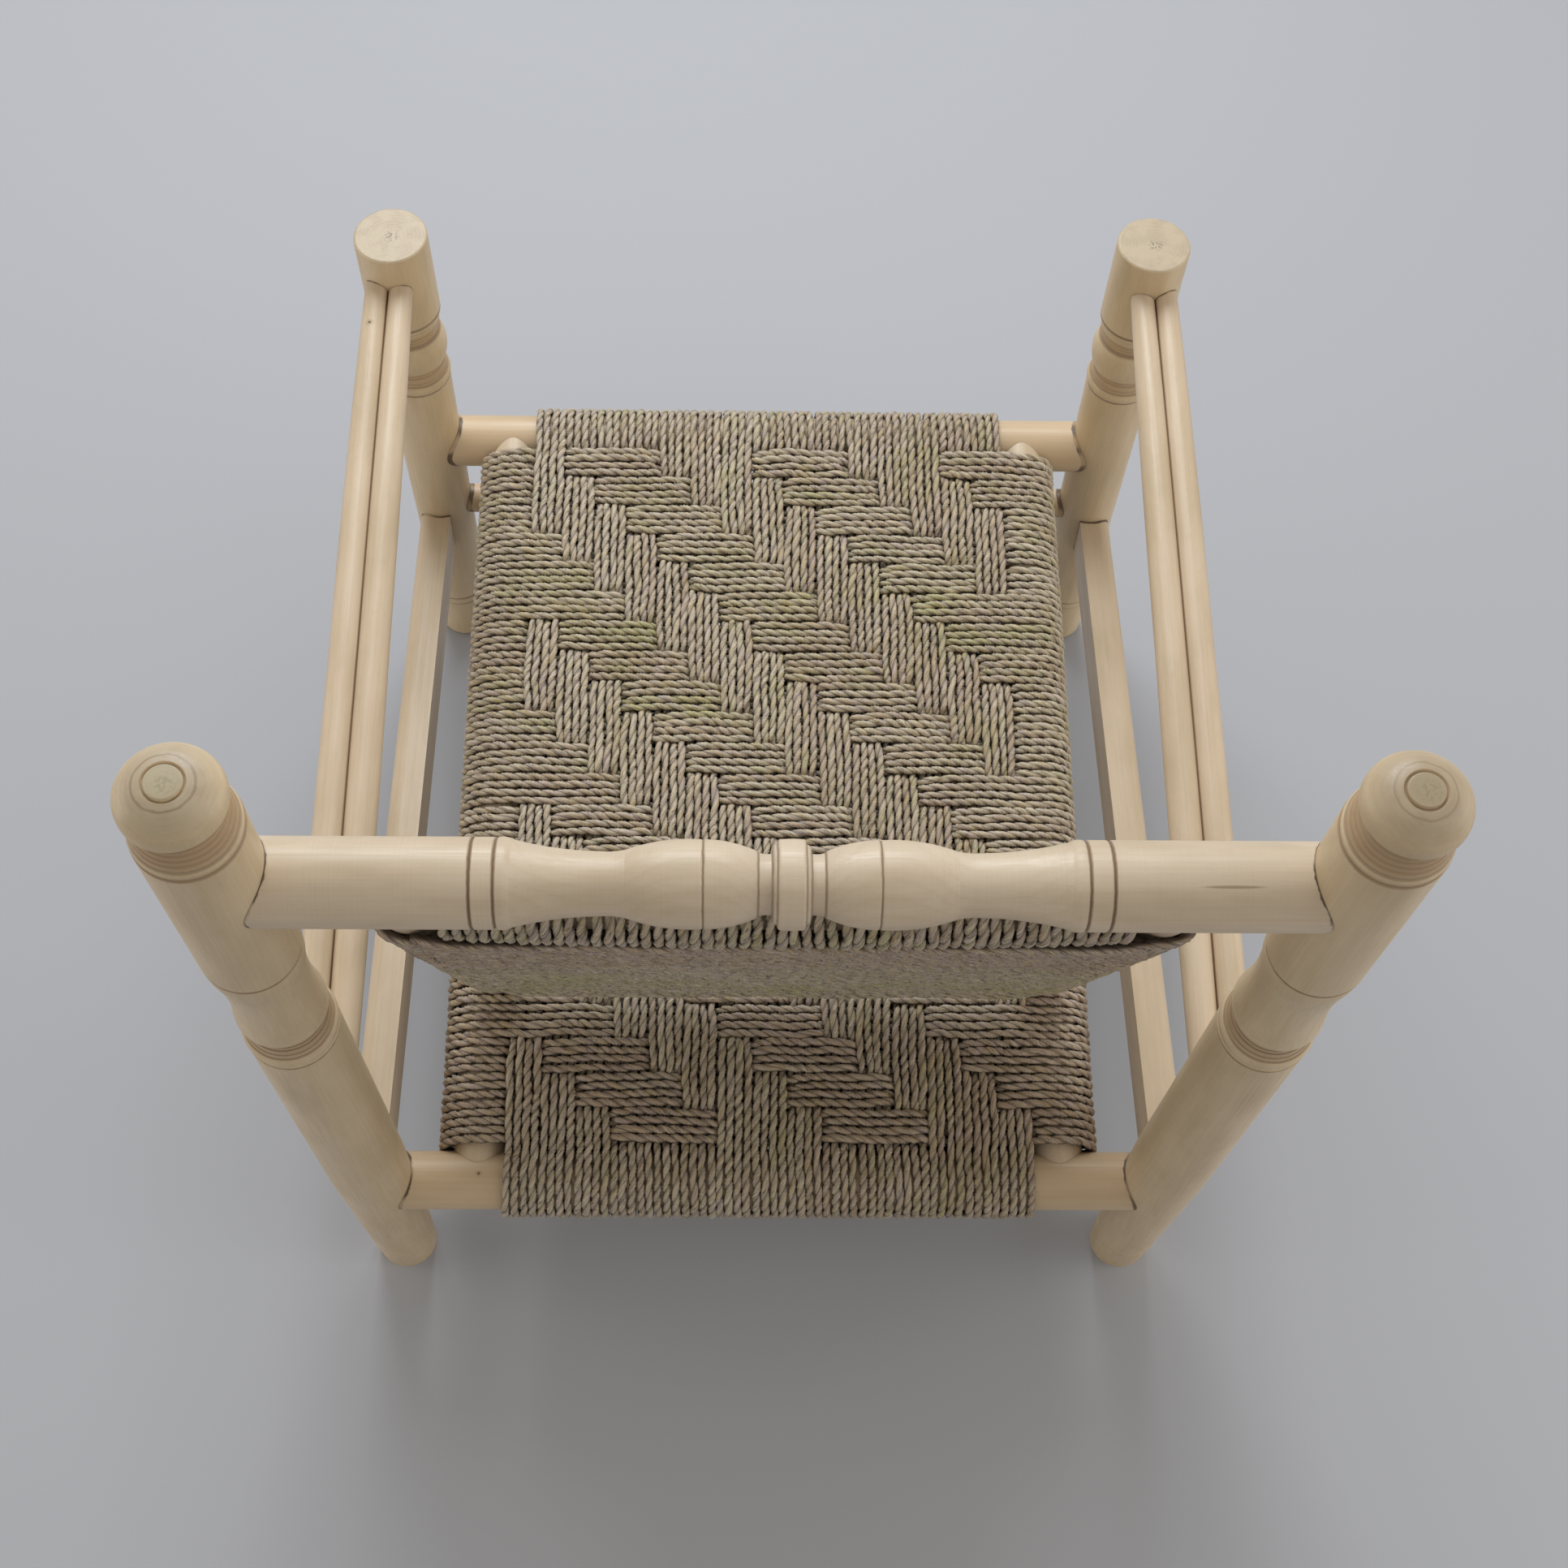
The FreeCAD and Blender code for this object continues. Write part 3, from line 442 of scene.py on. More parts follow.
def section_of_two_plies(cords):
    """Eight corners of the cord's section: two round plies with a valley between."""
    angle = np.radians(PLY_CORNERS)
    shape = cords.valley + (1.0 - cords.valley) * np.abs(np.cos(angle)) ** PLY_BLUNTNESS
    return angle, shape * cords.diameter / 2


def cord_surface(name, path, side_reference, cords, tints, twists, material):
    """A tube of two twisted plies along a path.

    At each point the section turns about the path by a full turn for each lay of
    length, right-handed, and a little ahead of that with the twist. Each corner
    keeps its place within the cord, so that the fibres follow the twist, and how
    far out it faces, which sets the painted shade on the cords' sides in the gaps between cords.
    """
    tangent = np.gradient(path, axis=0)
    tangent /= np.linalg.norm(tangent, axis=1, keepdims=True)
    side = np.cross(side_reference, tangent)
    side /= np.linalg.norm(side, axis=1, keepdims=True)
    other = np.cross(tangent, side)
    steps = np.linalg.norm(np.diff(path, axis=0), axis=1)
    length = np.concatenate([[0.0], np.cumsum(steps)])
    angle, radius = section_of_two_plies(cords)
    turn = angle[None, :] + (FULL_TURN * length / cords.lay + twists[:, 0])[:, None]
    wide = radius[None, :] * twists[:, 1:2]
    points = (
        path[:, None, :]
        + side[:, None, :] * (np.cos(turn) * wide)[..., None]
        + other[:, None, :] * (np.sin(turn) * wide)[..., None]
    )
    index, quads = ring_faces(*turn.shape)
    mesh = bpy.data.meshes.new(name)
    loops = np.concatenate([quads.ravel(), index[0][::-1], index[-1]])
    starts = np.concatenate([np.arange(0, quads.size, 4), [quads.size, quads.size + len(angle)]])
    mesh.vertices.add(index.size)
    mesh.vertices.foreach_set("co", points.reshape(-1).astype(np.float32))
    mesh.loops.add(len(loops))
    mesh.loops.foreach_set("vertex_index", loops.astype(np.int32))
    mesh.polygons.add(len(starts))
    mesh.polygons.foreach_set("loop_start", starts.astype(np.int32))
    mesh.update(calc_edges=True)
    mesh.validate()
    mesh.shade_smooth()
    place = np.stack([
        np.broadcast_to(np.cos(angle) * radius, turn.shape),
        np.broadcast_to(np.sin(angle) * radius, turn.shape),
        np.broadcast_to(length[:, None], turn.shape),
    ], axis=-1)
    stored = mesh.attributes.new("cord_place", "FLOAT_VECTOR", "POINT")
    stored.data.foreach_set("vector", place.reshape(-1).astype(np.float32))
    tint_and_shade = mesh.attributes.new("cord_tint", "FLOAT_COLOR", "POINT")
    colour = np.ones((*turn.shape, 4))
    colour[..., 0:2] = tints[:, None, 0:2]
    # The third channel is how far each corner faces out of the panel: the mask of the painted shade in the
    # gaps between cords.
    colour[..., 2] = 0.5 + 0.5 * np.cos(turn) * radius[None, :] / radius.max()
    tint_and_shade.data.foreach_set("color", colour.reshape(-1).astype(np.float32))
    return placed(name, mesh, material)


def strand_tints(rng, strands, samples):
    """Two tints for each point of each strand: how green and how brown, slow along the cord."""
    place = np.arange(samples) * FINE_STEP
    drift = np.cumsum(rng.normal(0.0, 0.30, (strands, 2)), axis=0)
    drift -= drift.mean(axis=0)
    each = rng.normal(0.0, 0.40, (strands, 2))
    slow = np.stack([waver(rng, strands, place * 0.5, 1.0) for _ in range(2)], axis=-1)
    by_strand = TINT_BY_STRAND * (drift + each)[:, None, :]
    return np.clip(TINT_MEAN + by_strand + TINT_ALONG * slow, 0.0, 1.0)


def strand_twist(rng, strands, samples):
    """For each point of each strand, how far its twist runs ahead and its share of full thickness."""
    place = np.arange(samples) * FINE_STEP
    ahead = rng.uniform(0.0, FULL_TURN, (strands, 1))
    ahead = ahead + waver(rng, strands, place * 0.8, TWIST_AHEAD)
    thick = 1.0 + rng.normal(0.0, THICKNESS_BY_STRAND, (strands, 1))
    thick = thick + waver(rng, strands, place, THICKNESS_ALONG)
    return np.stack([ahead, np.clip(thick, *THICKNESS_LIMITS)], axis=-1)

def wind(panel, kind, paths, side_reference, cords, rng, material):
    """Makes the pieces of one winding, each a run of whole turns within the triangle limit."""
    strands, samples, _ = paths.shape
    tints = strand_tints(rng, strands, samples)
    twists = strand_twist(rng, strands, samples)
    limit = PIECE_TRIANGLES // (samples * 2 * len(PLY_CORNERS))
    count = math.ceil(strands / limit)
    borders = np.linspace(0, strands, count + 1).round().astype(int)
    for number, (first, last) in enumerate(zip(borders[:-1], borders[1:]), start=1):
        piece = cord_surface(
            f"{panel.name}_{kind}_cord_{number}", paths[first:last].reshape(-1, 3), side_reference,
            cords, tints[first:last].reshape(-1, 2), twists[first:last].reshape(-1, 2), material)
        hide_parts(f"{panel.name}_{kind}")


def weave_panel(panel, cords, seed, posts=()):
    """Winds the warp of a panel, and then its weft."""
    rng = np.random.default_rng(seed)
    material = cord_material(cords)
    weave = Weave(panel, cords)
    wind(panel, "warp", warp_paths(panel, weave, rng), ALONG_X, cords, rng, material)
    wind(panel, "weft", weft_paths(panel, weave, rng, posts), panel.along, cords, rng, material)



# Materials

class NodeTree:
    """A short way to write a material's nodes."""

    def __init__(self, name):
        self.material = bpy.data.materials.new(name)
        self.material.use_nodes = True
        self.nodes = self.material.node_tree.nodes
        self.links = self.material.node_tree.links
        self.shader = self.nodes["Principled BSDF"]

    def feed(self, socket, value):
        """Links a socket, or sets it to a plain value."""
        if isinstance(value, bpy.types.NodeSocket):
            self.links.new(value, socket)
        elif value is not None:
            socket.default_value = value

    def node(self, kind, inputs=(), output=0, **settings):
        """A node with its settings and inputs; gives one output."""
        node = self.nodes.new(kind)
        for key, value in settings.items():
            setattr(node, key, value)
        for key, value in (inputs.items() if isinstance(inputs, dict) else enumerate(inputs)):
            self.feed(node.inputs[key], value)
        return node.outputs[output]

    def math(self, operation, *inputs):
        """A sum, product or other operation on numbers."""
        return self.node("ShaderNodeMath", inputs, operation=operation)

    def vector(self, operation, *inputs, output=0):
        """An operation on vectors."""
        return self.node("ShaderNodeVectorMath", inputs, output, operation=operation)

    def noise(self, place, scale, detail=2.0, rough=0.5):
        """Soft noise at a place."""
        return self.node("ShaderNodeTexNoise", {
            "Vector": place, "Scale": scale, "Detail": detail, "Roughness": rough, "Distortion": 0.0})

    def drawn_noise(self, place, share, scale, detail=2.0, rough=0.5):
        """Noise drawn out along the third axis, where its scale is only a share."""
        return self.noise(self.vector("MULTIPLY", place, (1.0, 1.0, share)), scale, detail, rough)

    def mix(self, share, first, second, blend="MIX"):
        """Two colours mixed by a share."""
        node = self.nodes.new("ShaderNodeMix")
        node.data_type = "RGBA"
        node.blend_type = blend
        self.feed(node.inputs["Factor"], share)
        self.feed(node.inputs[6], first)
        self.feed(node.inputs[7], second)
        return node.outputs[2]

    def times(self, colour, level):
        """A colour times a level."""
        return self.mix(1.0, colour, level, "MULTIPLY")

    def ramp(self, value, stops, smooth=True):
        """A number through stops of (place, level)."""
        node = self.nodes.new("ShaderNodeValToRGB")
        node.color_ramp.interpolation = "EASE" if smooth else "LINEAR"
        points = node.color_ramp.elements
        for place, level in stops[1:-1]:
            points.new(place).color = (level, level, level, 1)
        points[0].position, points[-1].position = stops[0][0], stops[-1][0]
        points[0].color = (*[stops[0][1]] * 3, 1)
        points[-1].color = (*[stops[-1][1]] * 3, 1)
        self.feed(node.inputs[0], value)
        return node.outputs[0]

    def carried(self, value, start, end, at_start, at_end, kind="SMOOTHSTEP"):
        """A value carried from one range to another and held past its ends."""
        return self.node("ShaderNodeMapRange", {
            "Value": value, 1: start, 2: end, 3: at_start, 4: at_end}, interpolation_type=kind)

    def faded(self, value, edge, fade, strength):
        """A strength where a value is under an edge, fading to nothing over a distance."""
        return self.carried(value, edge + fade, edge, 0.0, strength)

    def bump(self, height, strength, distance, normal=None):
        """A bump from a height."""
        return self.node("ShaderNodeBump", {
            "Height": height, "Strength": strength, "Distance": distance, "Normal": normal})

    def finish(self, colour, roughness, specular, normal=None):
        """Gives the shader its colour, roughness, specular level and normal."""
        for name, value in (("Base Color", colour), ("Roughness", roughness),
                            ("Specular IOR Level", specular), ("Normal", normal)):
            self.feed(self.shader.inputs[name], value)


def rgba(colour):
    """A colour with full cover."""
    return (*colour[:3], 1.0)


def cord_material(cords):
    """Twisted dried fibre: streaks along the plies, greener and browner stretches, and painted light: dark
    clefts between the plies as painted shade, a painted highlight on the plies' crowns and painted shade on
    the cords' sides in the gaps between them.
    """
    tree = NodeTree("twisted_cord")
    place = tree.node("ShaderNodeAttribute", output=1, attribute_name="cord_place")
    tint_and_shade = tree.node("ShaderNodeAttribute", attribute_name="cord_tint")
    parts = tree.nodes.new("ShaderNodeSeparateColor")
    tree.links.new(tint_and_shade, parts.inputs[0])
    # The third channel is how far a corner faces out of the panel, the mask of the painted gap shade.
    green, brown, outward = parts.outputs
    fibre = tree.drawn_noise(place, 0.045, 2300.0, 4.0, 0.6)
    strand = tree.drawn_noise(place, 0.045, 800.0)
    hue = tree.drawn_noise(place, 0.12, 330.0)
    fleck = tree.drawn_noise(place, 0.25, 620.0)
    blotch = tree.noise(tree.node("ShaderNodeTexCoord", output=3), 16.0, 3.0, 0.6)
    spot = tree.noise(tree.node("ShaderNodeTexCoord", output=3), 120.0, 2.0, 0.6)
    greener = tree.math("MULTIPLY", green, tree.ramp(blotch, ((0.40, 0.12), (0.62, 0.9))))
    browner = tree.math("MULTIPLY", brown, tree.ramp(strand, ((0.3, 0.25), (0.7, 1.0))))
    colour = tree.mix(greener, rgba(cords.beige), rgba(cords.green))
    colour = tree.mix(browner, colour, rgba(cords.brown))
    colour = tree.mix(tree.ramp(spot, ((0.58, 0.0), (0.74, 0.45))), colour, (0.66, 0.58, 0.47, 1.0))
    colour = tree.mix(tree.ramp(hue, ((0.52, 0.0), (0.68, 0.8))), colour, (0.47, 0.375, 0.35, 1.0))
    colour = tree.mix(tree.ramp(hue, ((0.32, 0.7), (0.46, 0.0))), colour, (0.48, 0.36, 0.19, 1.0))
    colour = tree.times(colour, tree.ramp(fibre, ((0.28, 0.42), (0.50, 1.0), (0.74, 1.55)), False))
    from_cleft = tree.math("ABSOLUTE", tree.node("ShaderNodeSeparateXYZ", (place,)))
    # Painted highlight on the plies' crowns and painted shade towards the cleft between them.
    colour = tree.times(colour, tree.carried(from_cleft, 0.0, 3.0 * MM, 0.82, 1.12, "LINEAR"))
    # Painted shade: the cleft between the two plies is darkened, and the same mask dents the surface.
    cleft_depth_and_shade = tree.carried(from_cleft, 0.05 * MM, 0.95 * MM, 0.34, 1.0)
    colour = tree.mix(cleft_depth_and_shade, (0.10, 0.068, 0.042, 1.0), colour)
    colour = tree.mix(tree.ramp(fleck, ((0.59, 0.0), (0.67, 0.75))), colour, (0.15, 0.105, 0.065, 1.0))
    # Painted shade: the sides and undersides of the cords, where they lie in the gaps between cords, are
    # darkened to a warm near-black.
    free_of_gap_shade = tree.ramp(outward, ((0.40, 0.06), (0.53, 0.48), (0.68, 1.0)), False)
    colour = tree.mix(free_of_gap_shade, (0.075, 0.052, 0.034, 1.0), colour)
    dent = tree.bump(strand, 0.5, 0.5 * MM, tree.bump(cleft_depth_and_shade, 0.5, 0.8 * MM))
    rough = tree.ramp(fibre, ((0.3, 0.66), (0.7, 0.44)))
    tree.finish(colour, rough, 0.42, tree.bump(fibre, 0.7, 0.35 * MM, dent))
    tree.feed(tree.shader.inputs["Sheen Weight"], 0.10)
    return tree.material


class Timber:
    """One length of wood: its line, its pith, and what marks it."""

    def __init__(self, origin, axis, pith, shift, tone, turned=False,
                 marks=(), shades=(), joints=(), seams=(), spots=()):
        self.origin, self.axis, self.pith = origin, unit(axis), pith
        self.shift, self.tone, self.turned = shift, tone, turned
        self.marks, self.shades = marks, shades
        self.joints, self.seams, self.spots = joints, seams, spots

    def toned(self, colour):
        """A colour with this piece's tone."""
        return rgba([value * share for value, share in zip(colour, self.tone)])


ROUND = (1.0, 1.0, 1.0)


def knot(middle, radius):
    """A small dark knot in a browner ring."""
    return ((middle, 2.4 * radius, 0.35, (0.40, 0.27, 0.15), ROUND),
            (middle, radius, 0.85, (0.12, 0.07, 0.04), ROUND))


# The width of a growth ring, and how far the rings sway, in rings
RING_WIDTH = 3.1 * MM
RING_SWAY = 4.0


def end_grain(tree, own, distance, rings, wood, timber):
    """Wood cut across: faint rings, warm patches, and dark squiggles near the pith."""
    patch = tree.noise(own, 75.0)
    faint = tree.math("MULTIPLY", rings, tree.ramp(patch, ((0.40, 0.05), (0.62, 1.0))))
    colour = tree.times(
        timber.toned(wood.end_grain), tree.ramp(faint, ((0.0, 1.03), (0.75, 0.91)), False))
    colour = tree.mix(tree.ramp(patch, ((0.42, 0.0), (0.66, 0.35))), colour, (0.42, 0.31, 0.21, 1.0))
    squiggle = tree.ramp(tree.noise(own, 430.0, 1.5, 0.4), ((0.50, 0.0), (0.58, 0.75)))
    squiggle = tree.math("MULTIPLY", squiggle, tree.faded(distance, 2.0 * MM, 7.0 * MM, 1.0))
    return tree.mix(squiggle, colour, (0.17, 0.14, 0.085, 1.0))


def wood_material(name, wood, timber):
    """Bare pale wood with its rings about a pith line along the piece.

    A point's place across and along the piece comes from its products with three
    directions. The rings follow the distance from the pith, the streaks run along
    the piece, cut ends are darker, and burnt lines lie at marks along it.
    """
    tree = NodeTree(name)
    point = tree.node("ShaderNodeTexCoord", output=3)
    away = tree.vector("SUBTRACT", point, tuple(timber.origin))
    axis = timber.axis
    first = unit(np.cross(axis, [0.31, 0.12, 0.94] if abs(axis[2]) < 0.9 else [0.94, 0.31, 0.12]))
    places = [tree.vector("DOT_PRODUCT", away, tuple(direction), output=1)
              for direction in (first, np.cross(axis, first), axis)]
    along = places[2]
    local = tree.node("ShaderNodeCombineXYZ", places)
    own = tree.vector("ADD", local, (timber.shift, -timber.shift, 1.7 * timber.shift))
    swayed = tree.math("MULTIPLY", tree.drawn_noise(own, 0.06, 26.0), RING_SWAY)
    from_pith = tree.vector("SUBTRACT", local, (*timber.pith, 0.0))
    distance = tree.vector("LENGTH", tree.vector("MULTIPLY", from_pith, (1.0, 1.0, 0.0)), output=1)
    ring_place = tree.math("ADD", tree.math("MULTIPLY", distance, 1.0 / RING_WIDTH), swayed)
    rings = tree.ramp(
        tree.math("FRACT", ring_place), ((0.0, 0.30), (0.55, 0.0), (0.88, 0.75), (1.0, 0.30)))
    streak = tree.drawn_noise(own, 0.018, 620.0, 3.0, 0.55)
    fleck = tree.drawn_noise(own, 0.05, 1900.0)
    cloud = tree.drawn_noise(own, 0.30, 30.0, 3.0, 0.55)
    grain = tree.math("ADD", tree.math("MULTIPLY", rings, 0.16), tree.math("MULTIPLY", streak, 0.50))
    grain = tree.math("ADD", grain, tree.math("MULTIPLY", tree.math("SUBTRACT", cloud, 0.5), 1.25))
    colour = tree.mix(tree.ramp(grain, ((0.0, 0.0), (0.85, 1.0)), False),
                      timber.toned(wood.pale), timber.toned(wood.deep))
    colour = tree.times(colour, tree.ramp(fleck, ((0.62, 1.0), (0.78, 0.88)), False))
    greyed = tree.math("MULTIPLY", tree.ramp(cloud, ((0.45, 0.0), (0.75, 1.0))), 0.22)
    colour = tree.mix(greyed, colour, (0.46, 0.39, 0.25, 1.0))
    cut_across = tree.math("ABSOLUTE", tree.vector(
        "DOT_PRODUCT", tree.node("ShaderNodeNewGeometry", output=1), tuple(axis), output=1))
    end_share = tree.ramp(cut_across, ((0.45, 0.0), (0.97, 1.0)))
    colour = tree.mix(end_share, colour, end_grain(tree, own, distance, rings, wood, timber))
    if timber.turned:
        spun = tree.noise(tree.node("ShaderNodeCombineXYZ", (0.0, 0.0, along)), 700.0, 2.0, 0.6)
        colour = tree.times(colour, tree.ramp(spun, ((0.32, 0.975), (0.66, 1.018)), False))
    colour = marked(tree, colour, point, along, wood, timber)
    rough = tree.ramp(streak, ((0.3, 0.37), (0.7, 0.50)))
    tree.finish(colour, rough, 0.55, tree.bump(streak, 0.16, 0.25 * MM, tree.bump(cloud, 0.10, 1.2 * MM)))
    return tree.material


def marked(tree, colour, point, along, wood, timber):
    """Dark lines of (mark, half width, strength), warm bands of (low, high, strength) that stand for
    friction-burnt colour and painted shade in the turned hollows, dark joints.

    A joint is a post's line and radius: the wood is dark where it meets the post.
    A seam is a plane, and a spot is a coloured ball of (middle, radius, strength, colour
    and how much its reach is shrunk along each axis before it is measured).
    """
    ragged = tree.math("SUBTRACT", tree.noise(point, 160.0), 0.5)
    place = tree.math("ADD", along, tree.math("MULTIPLY", ragged, 0.9 * MM))
    burnt = rgba(wood.burnt)
    # Warm brown bands over the turned recesses and the neck under the ball: colour burnt in by friction, and
    # painted shade.
    for low, high, strength in timber.shades:
        off = tree.math("ABSOLUTE", tree.math("SUBTRACT", place, (low + high) / 2))
        half = (high - low) / 2
        band = tree.faded(off, half * 0.45, half * 0.55, strength)
        colour = tree.mix(band, colour, (0.45, 0.29, 0.155, 1.0))
    for mark, half, strength in timber.marks:
        off = tree.math("ABSOLUTE", tree.math("SUBTRACT", place, mark))
        colour = tree.mix(tree.faded(off, half * 0.35, half * 0.85, strength * 0.85), colour, burnt)
    for foot, direction, radius in timber.joints:
        from_foot = tree.vector("SUBTRACT", point, tuple(foot))
        reach = tree.vector("CROSS_PRODUCT", from_foot, tuple(unit(direction)))
        uneven = tree.math("MULTIPLY", ragged, 2.4 * MM)
        off = tree.math("ADD", tree.vector("LENGTH", reach, output=1), uneven)
        tight = tree.ramp(tree.noise(point, 34.0, 1.0, 0.4), ((0.40, 0.30), (0.56, 1.0)))
        gap = tree.math("MULTIPLY", tree.faded(off, radius + 0.5 * MM, 0.9 * MM, 0.92), tight)
        colour = tree.mix(gap, colour, (0.09, 0.055, 0.03, 1.0))
    for middle, normal in timber.seams:
        from_middle = tree.vector("SUBTRACT", point, tuple(middle))
        off = tree.vector("DOT_PRODUCT", from_middle, tuple(unit(normal)), output=1)
        seam = tree.faded(tree.math("ABSOLUTE", off), 0.35 * MM, 0.9 * MM, 0.85)
        colour = tree.mix(seam, colour, burnt)
    for middle, radius, strength, stain, shrink in timber.spots:
        apart = tree.vector("MULTIPLY", tree.vector("SUBTRACT", point, tuple(middle)), shrink)
        off = tree.vector("LENGTH", apart, output=1)
        colour = tree.mix(tree.faded(off, radius * 0.6, radius * 0.6, strength), colour, rgba(stain))
    return colour


def dress(node, material):
    """Gives a node of the frame its one material."""
    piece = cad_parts[node]
    piece.data.materials.clear()
    piece.data.materials.append(material)


# Turned posts

# The corners of a rear post as turned, in millimetres: radius, mark along the axis and
# how far the stretch above swells, as a share of its length
REAR_POST_OUTLINE = (
    (0.0, -8.0, 0.0), (25.6, -8.0, 0.0), (25.6, 7.4, 0.0),
    (27.4, 49.5, 0.0), (26.1, 51.0, 0.0), (27.4, 52.5, 0.0),
    (27.4, 58.5, 0.0), (26.1, 60.0, 0.0), (27.4, 61.5, 0.0),
    (32.0, 270.0, 0.0), (32.0, 615.5, 0.0), (30.7, 617.0, 0.0), (32.0, 618.5, 0.0),
    (31.04, 620.02, 0.14), (30.56, 632.1, 0.0), (29.6, 633.0, 0.0), (29.12, 636.6, 0.0), (28.48, 637.5, 0.0),
    (28.0, 642.7, 0.0), (27.36, 643.6, 0.0), (27.04, 646.4, 0.0), (26.72, 647.4, 0.0), (26.4, 652.6, 0.0),
    (28.16, 653.8, 0.14), (30.4, 663.8, 0.0), (30.4, 666.8, -0.035),
    (30.24, 746.9, 0.03), (31.2, 765.0, 0.0),
    (32.0, 766.5, 0.0), (30.7, 768.0, 0.0), (32.0, 769.5, 0.0),
    (32.0, 943.6, 0.0), (30.6, 945.2, 0.0), (31.5, 946.6, 0.10), (30.5, 951.8, 0.0),
    (29.5, 952.6, 0.06), (29.0, 956.4, 0.0), (28.2, 957.2, 0.06), (27.7, 960.6, 0.0),
    (27.0, 961.4, 0.06), (26.5, 964.8, 0.0), (25.8, 965.6, 0.06), (25.4, 968.8, 0.0),
    (24.8, 969.6, 0.0), (24.4, 976.0, 0.0), (27.2, 977.8, 0.12), (29.8, 980.0, 0.10),
    (30.2, 983.0, 0.125), (24.8, 995.0, 0.085), (12.2, 1002.2, 0.0), (11.4, 1001.0, 0.0),
    (10.5, 1000.9, 0.0), (10.1, 1002.6, 0.15), (9.5, 1003.1, 0.0), (0.0, 1003.4, 0.0),
)
# Steps in a bent stretch, the longest step of a straight one in millimetres, points
# round the axis, and the angle past which an edge is sharp
BENT_STEPS = 12
LONG_STEP = 30.0
AROUND = 96
SHARP_ANGLE = math.radians(24.0)


def swollen(outline):
    """Points along an outline, each stretch bent by its swell.

    A stretch's offset from its chord is four times the swell, the chord's length, the
    share done and the share to go; long stretches are cut into short ones.
    """
    edges = np.array(outline, float)
    points = [edges[:1, :2]]
    for (radius, mark, swell), (next_radius, next_mark, _) in zip(edges[:-1], edges[1:]):
        start = np.array([radius, mark])
        chord = np.array([next_radius - radius, next_mark - mark])
        count = BENT_STEPS if swell else max(1, int(np.linalg.norm(chord) / LONG_STEP))
        share = (np.arange(1, count + 1) / count)[:, None]
        outward = np.array([chord[1], -chord[0]])
        points.append(start + chord * share + outward * 4.0 * swell * share * (1.0 - share))
    return np.concatenate(points) * MM


def turned_surface(name, outline, foot, direction, material):
    """A surface of revolution: each point of the outline carried round the axis.

    A corner stands at the foot plus the mark times the axis plus the radius times a
    unit vector that turns about the axis; what would be under the floor is slid
    along the axis up to it.
    """
    axis = unit(direction)
    first = unit(np.cross(axis, (0.0, 1.0, 0.0)))
    second = np.cross(axis, first)
    radius, mark = swollen(outline).T
    angle = np.linspace(0.0, FULL_TURN, AROUND, endpoint=False)
    out = np.cos(angle)[:, None] * first + np.sin(angle)[:, None] * second
    points = foot + mark[:, None, None] * axis + radius[:, None, None] * out[None, :, :]
    sunk = np.minimum(points[..., 2:3], 0.0)
    points = points - axis * (sunk / axis[2])
    index, quads = ring_faces(len(radius), AROUND)
    caps = [index[1][::-1].tolist(), index[-2].tolist()]
    mesh = bpy.data.meshes.new(name)
    mesh.from_pydata(points.reshape(-1, 3).tolist(), [], quads[AROUND:-AROUND].tolist() + caps)
    mesh.validate()
    mesh.shade_smooth()
    mesh.set_sharp_from_angle(angle=SHARP_ANGLE)
    return placed(name, mesh, material)


# The posts' lines, and what else the pieces share

FRONT_FOOT_X = 314.9 * MM
FRONT_HEAD_X = 325.6 * MM
REAR_POST_X = 325.5 * MM
REAR_SET_BACK = 95.5 * MM
FRONT_POST_R = 31.4 * MM
REAR_POST_R = 32.0 * MM
FRONT_HEIGHT = 572.0 * MM
REAR_HEIGHT = 996.7 * MM
REAR_FOOT_DEPTH = 687.6 * MM
FRONT_LINE_Y = float(sum(corners("front_post_left"))[1]) / 2


def post_line(which, side):
    """The foot and the direction of a post's axis."""
    sign = 1 if side == "left" else -1
    if which == "front":
        return (np.array([sign * FRONT_FOOT_X, FRONT_LINE_Y, 0.0]),
                np.array([sign * (FRONT_HEAD_X - FRONT_FOOT_X), 0.0, FRONT_HEIGHT]))
    return (np.array([sign * REAR_POST_X, FRONT_LINE_Y + REAR_FOOT_DEPTH, 0.0]),
            np.array([0.0, REAR_SET_BACK, REAR_HEIGHT]))


def joint_with(which, side, radius=None):
    """A post's line and radius, for the dark joint of what meets it."""
    foot, direction = post_line(which, side)
    return foot, direction, radius or (FRONT_POST_R if which == "front" else REAR_POST_R)


def scaled(rows):
    """Rows of marks in millimetres as metres, with their strengths kept."""
    return [(first * MM, second * MM, strength) for first, second, strength in rows]


def left_only(side, value):
    """The value on the left side, and nothing on the right."""
    return value if side == "left" else 0.0


# Operators, one for each piece or group of like pieces

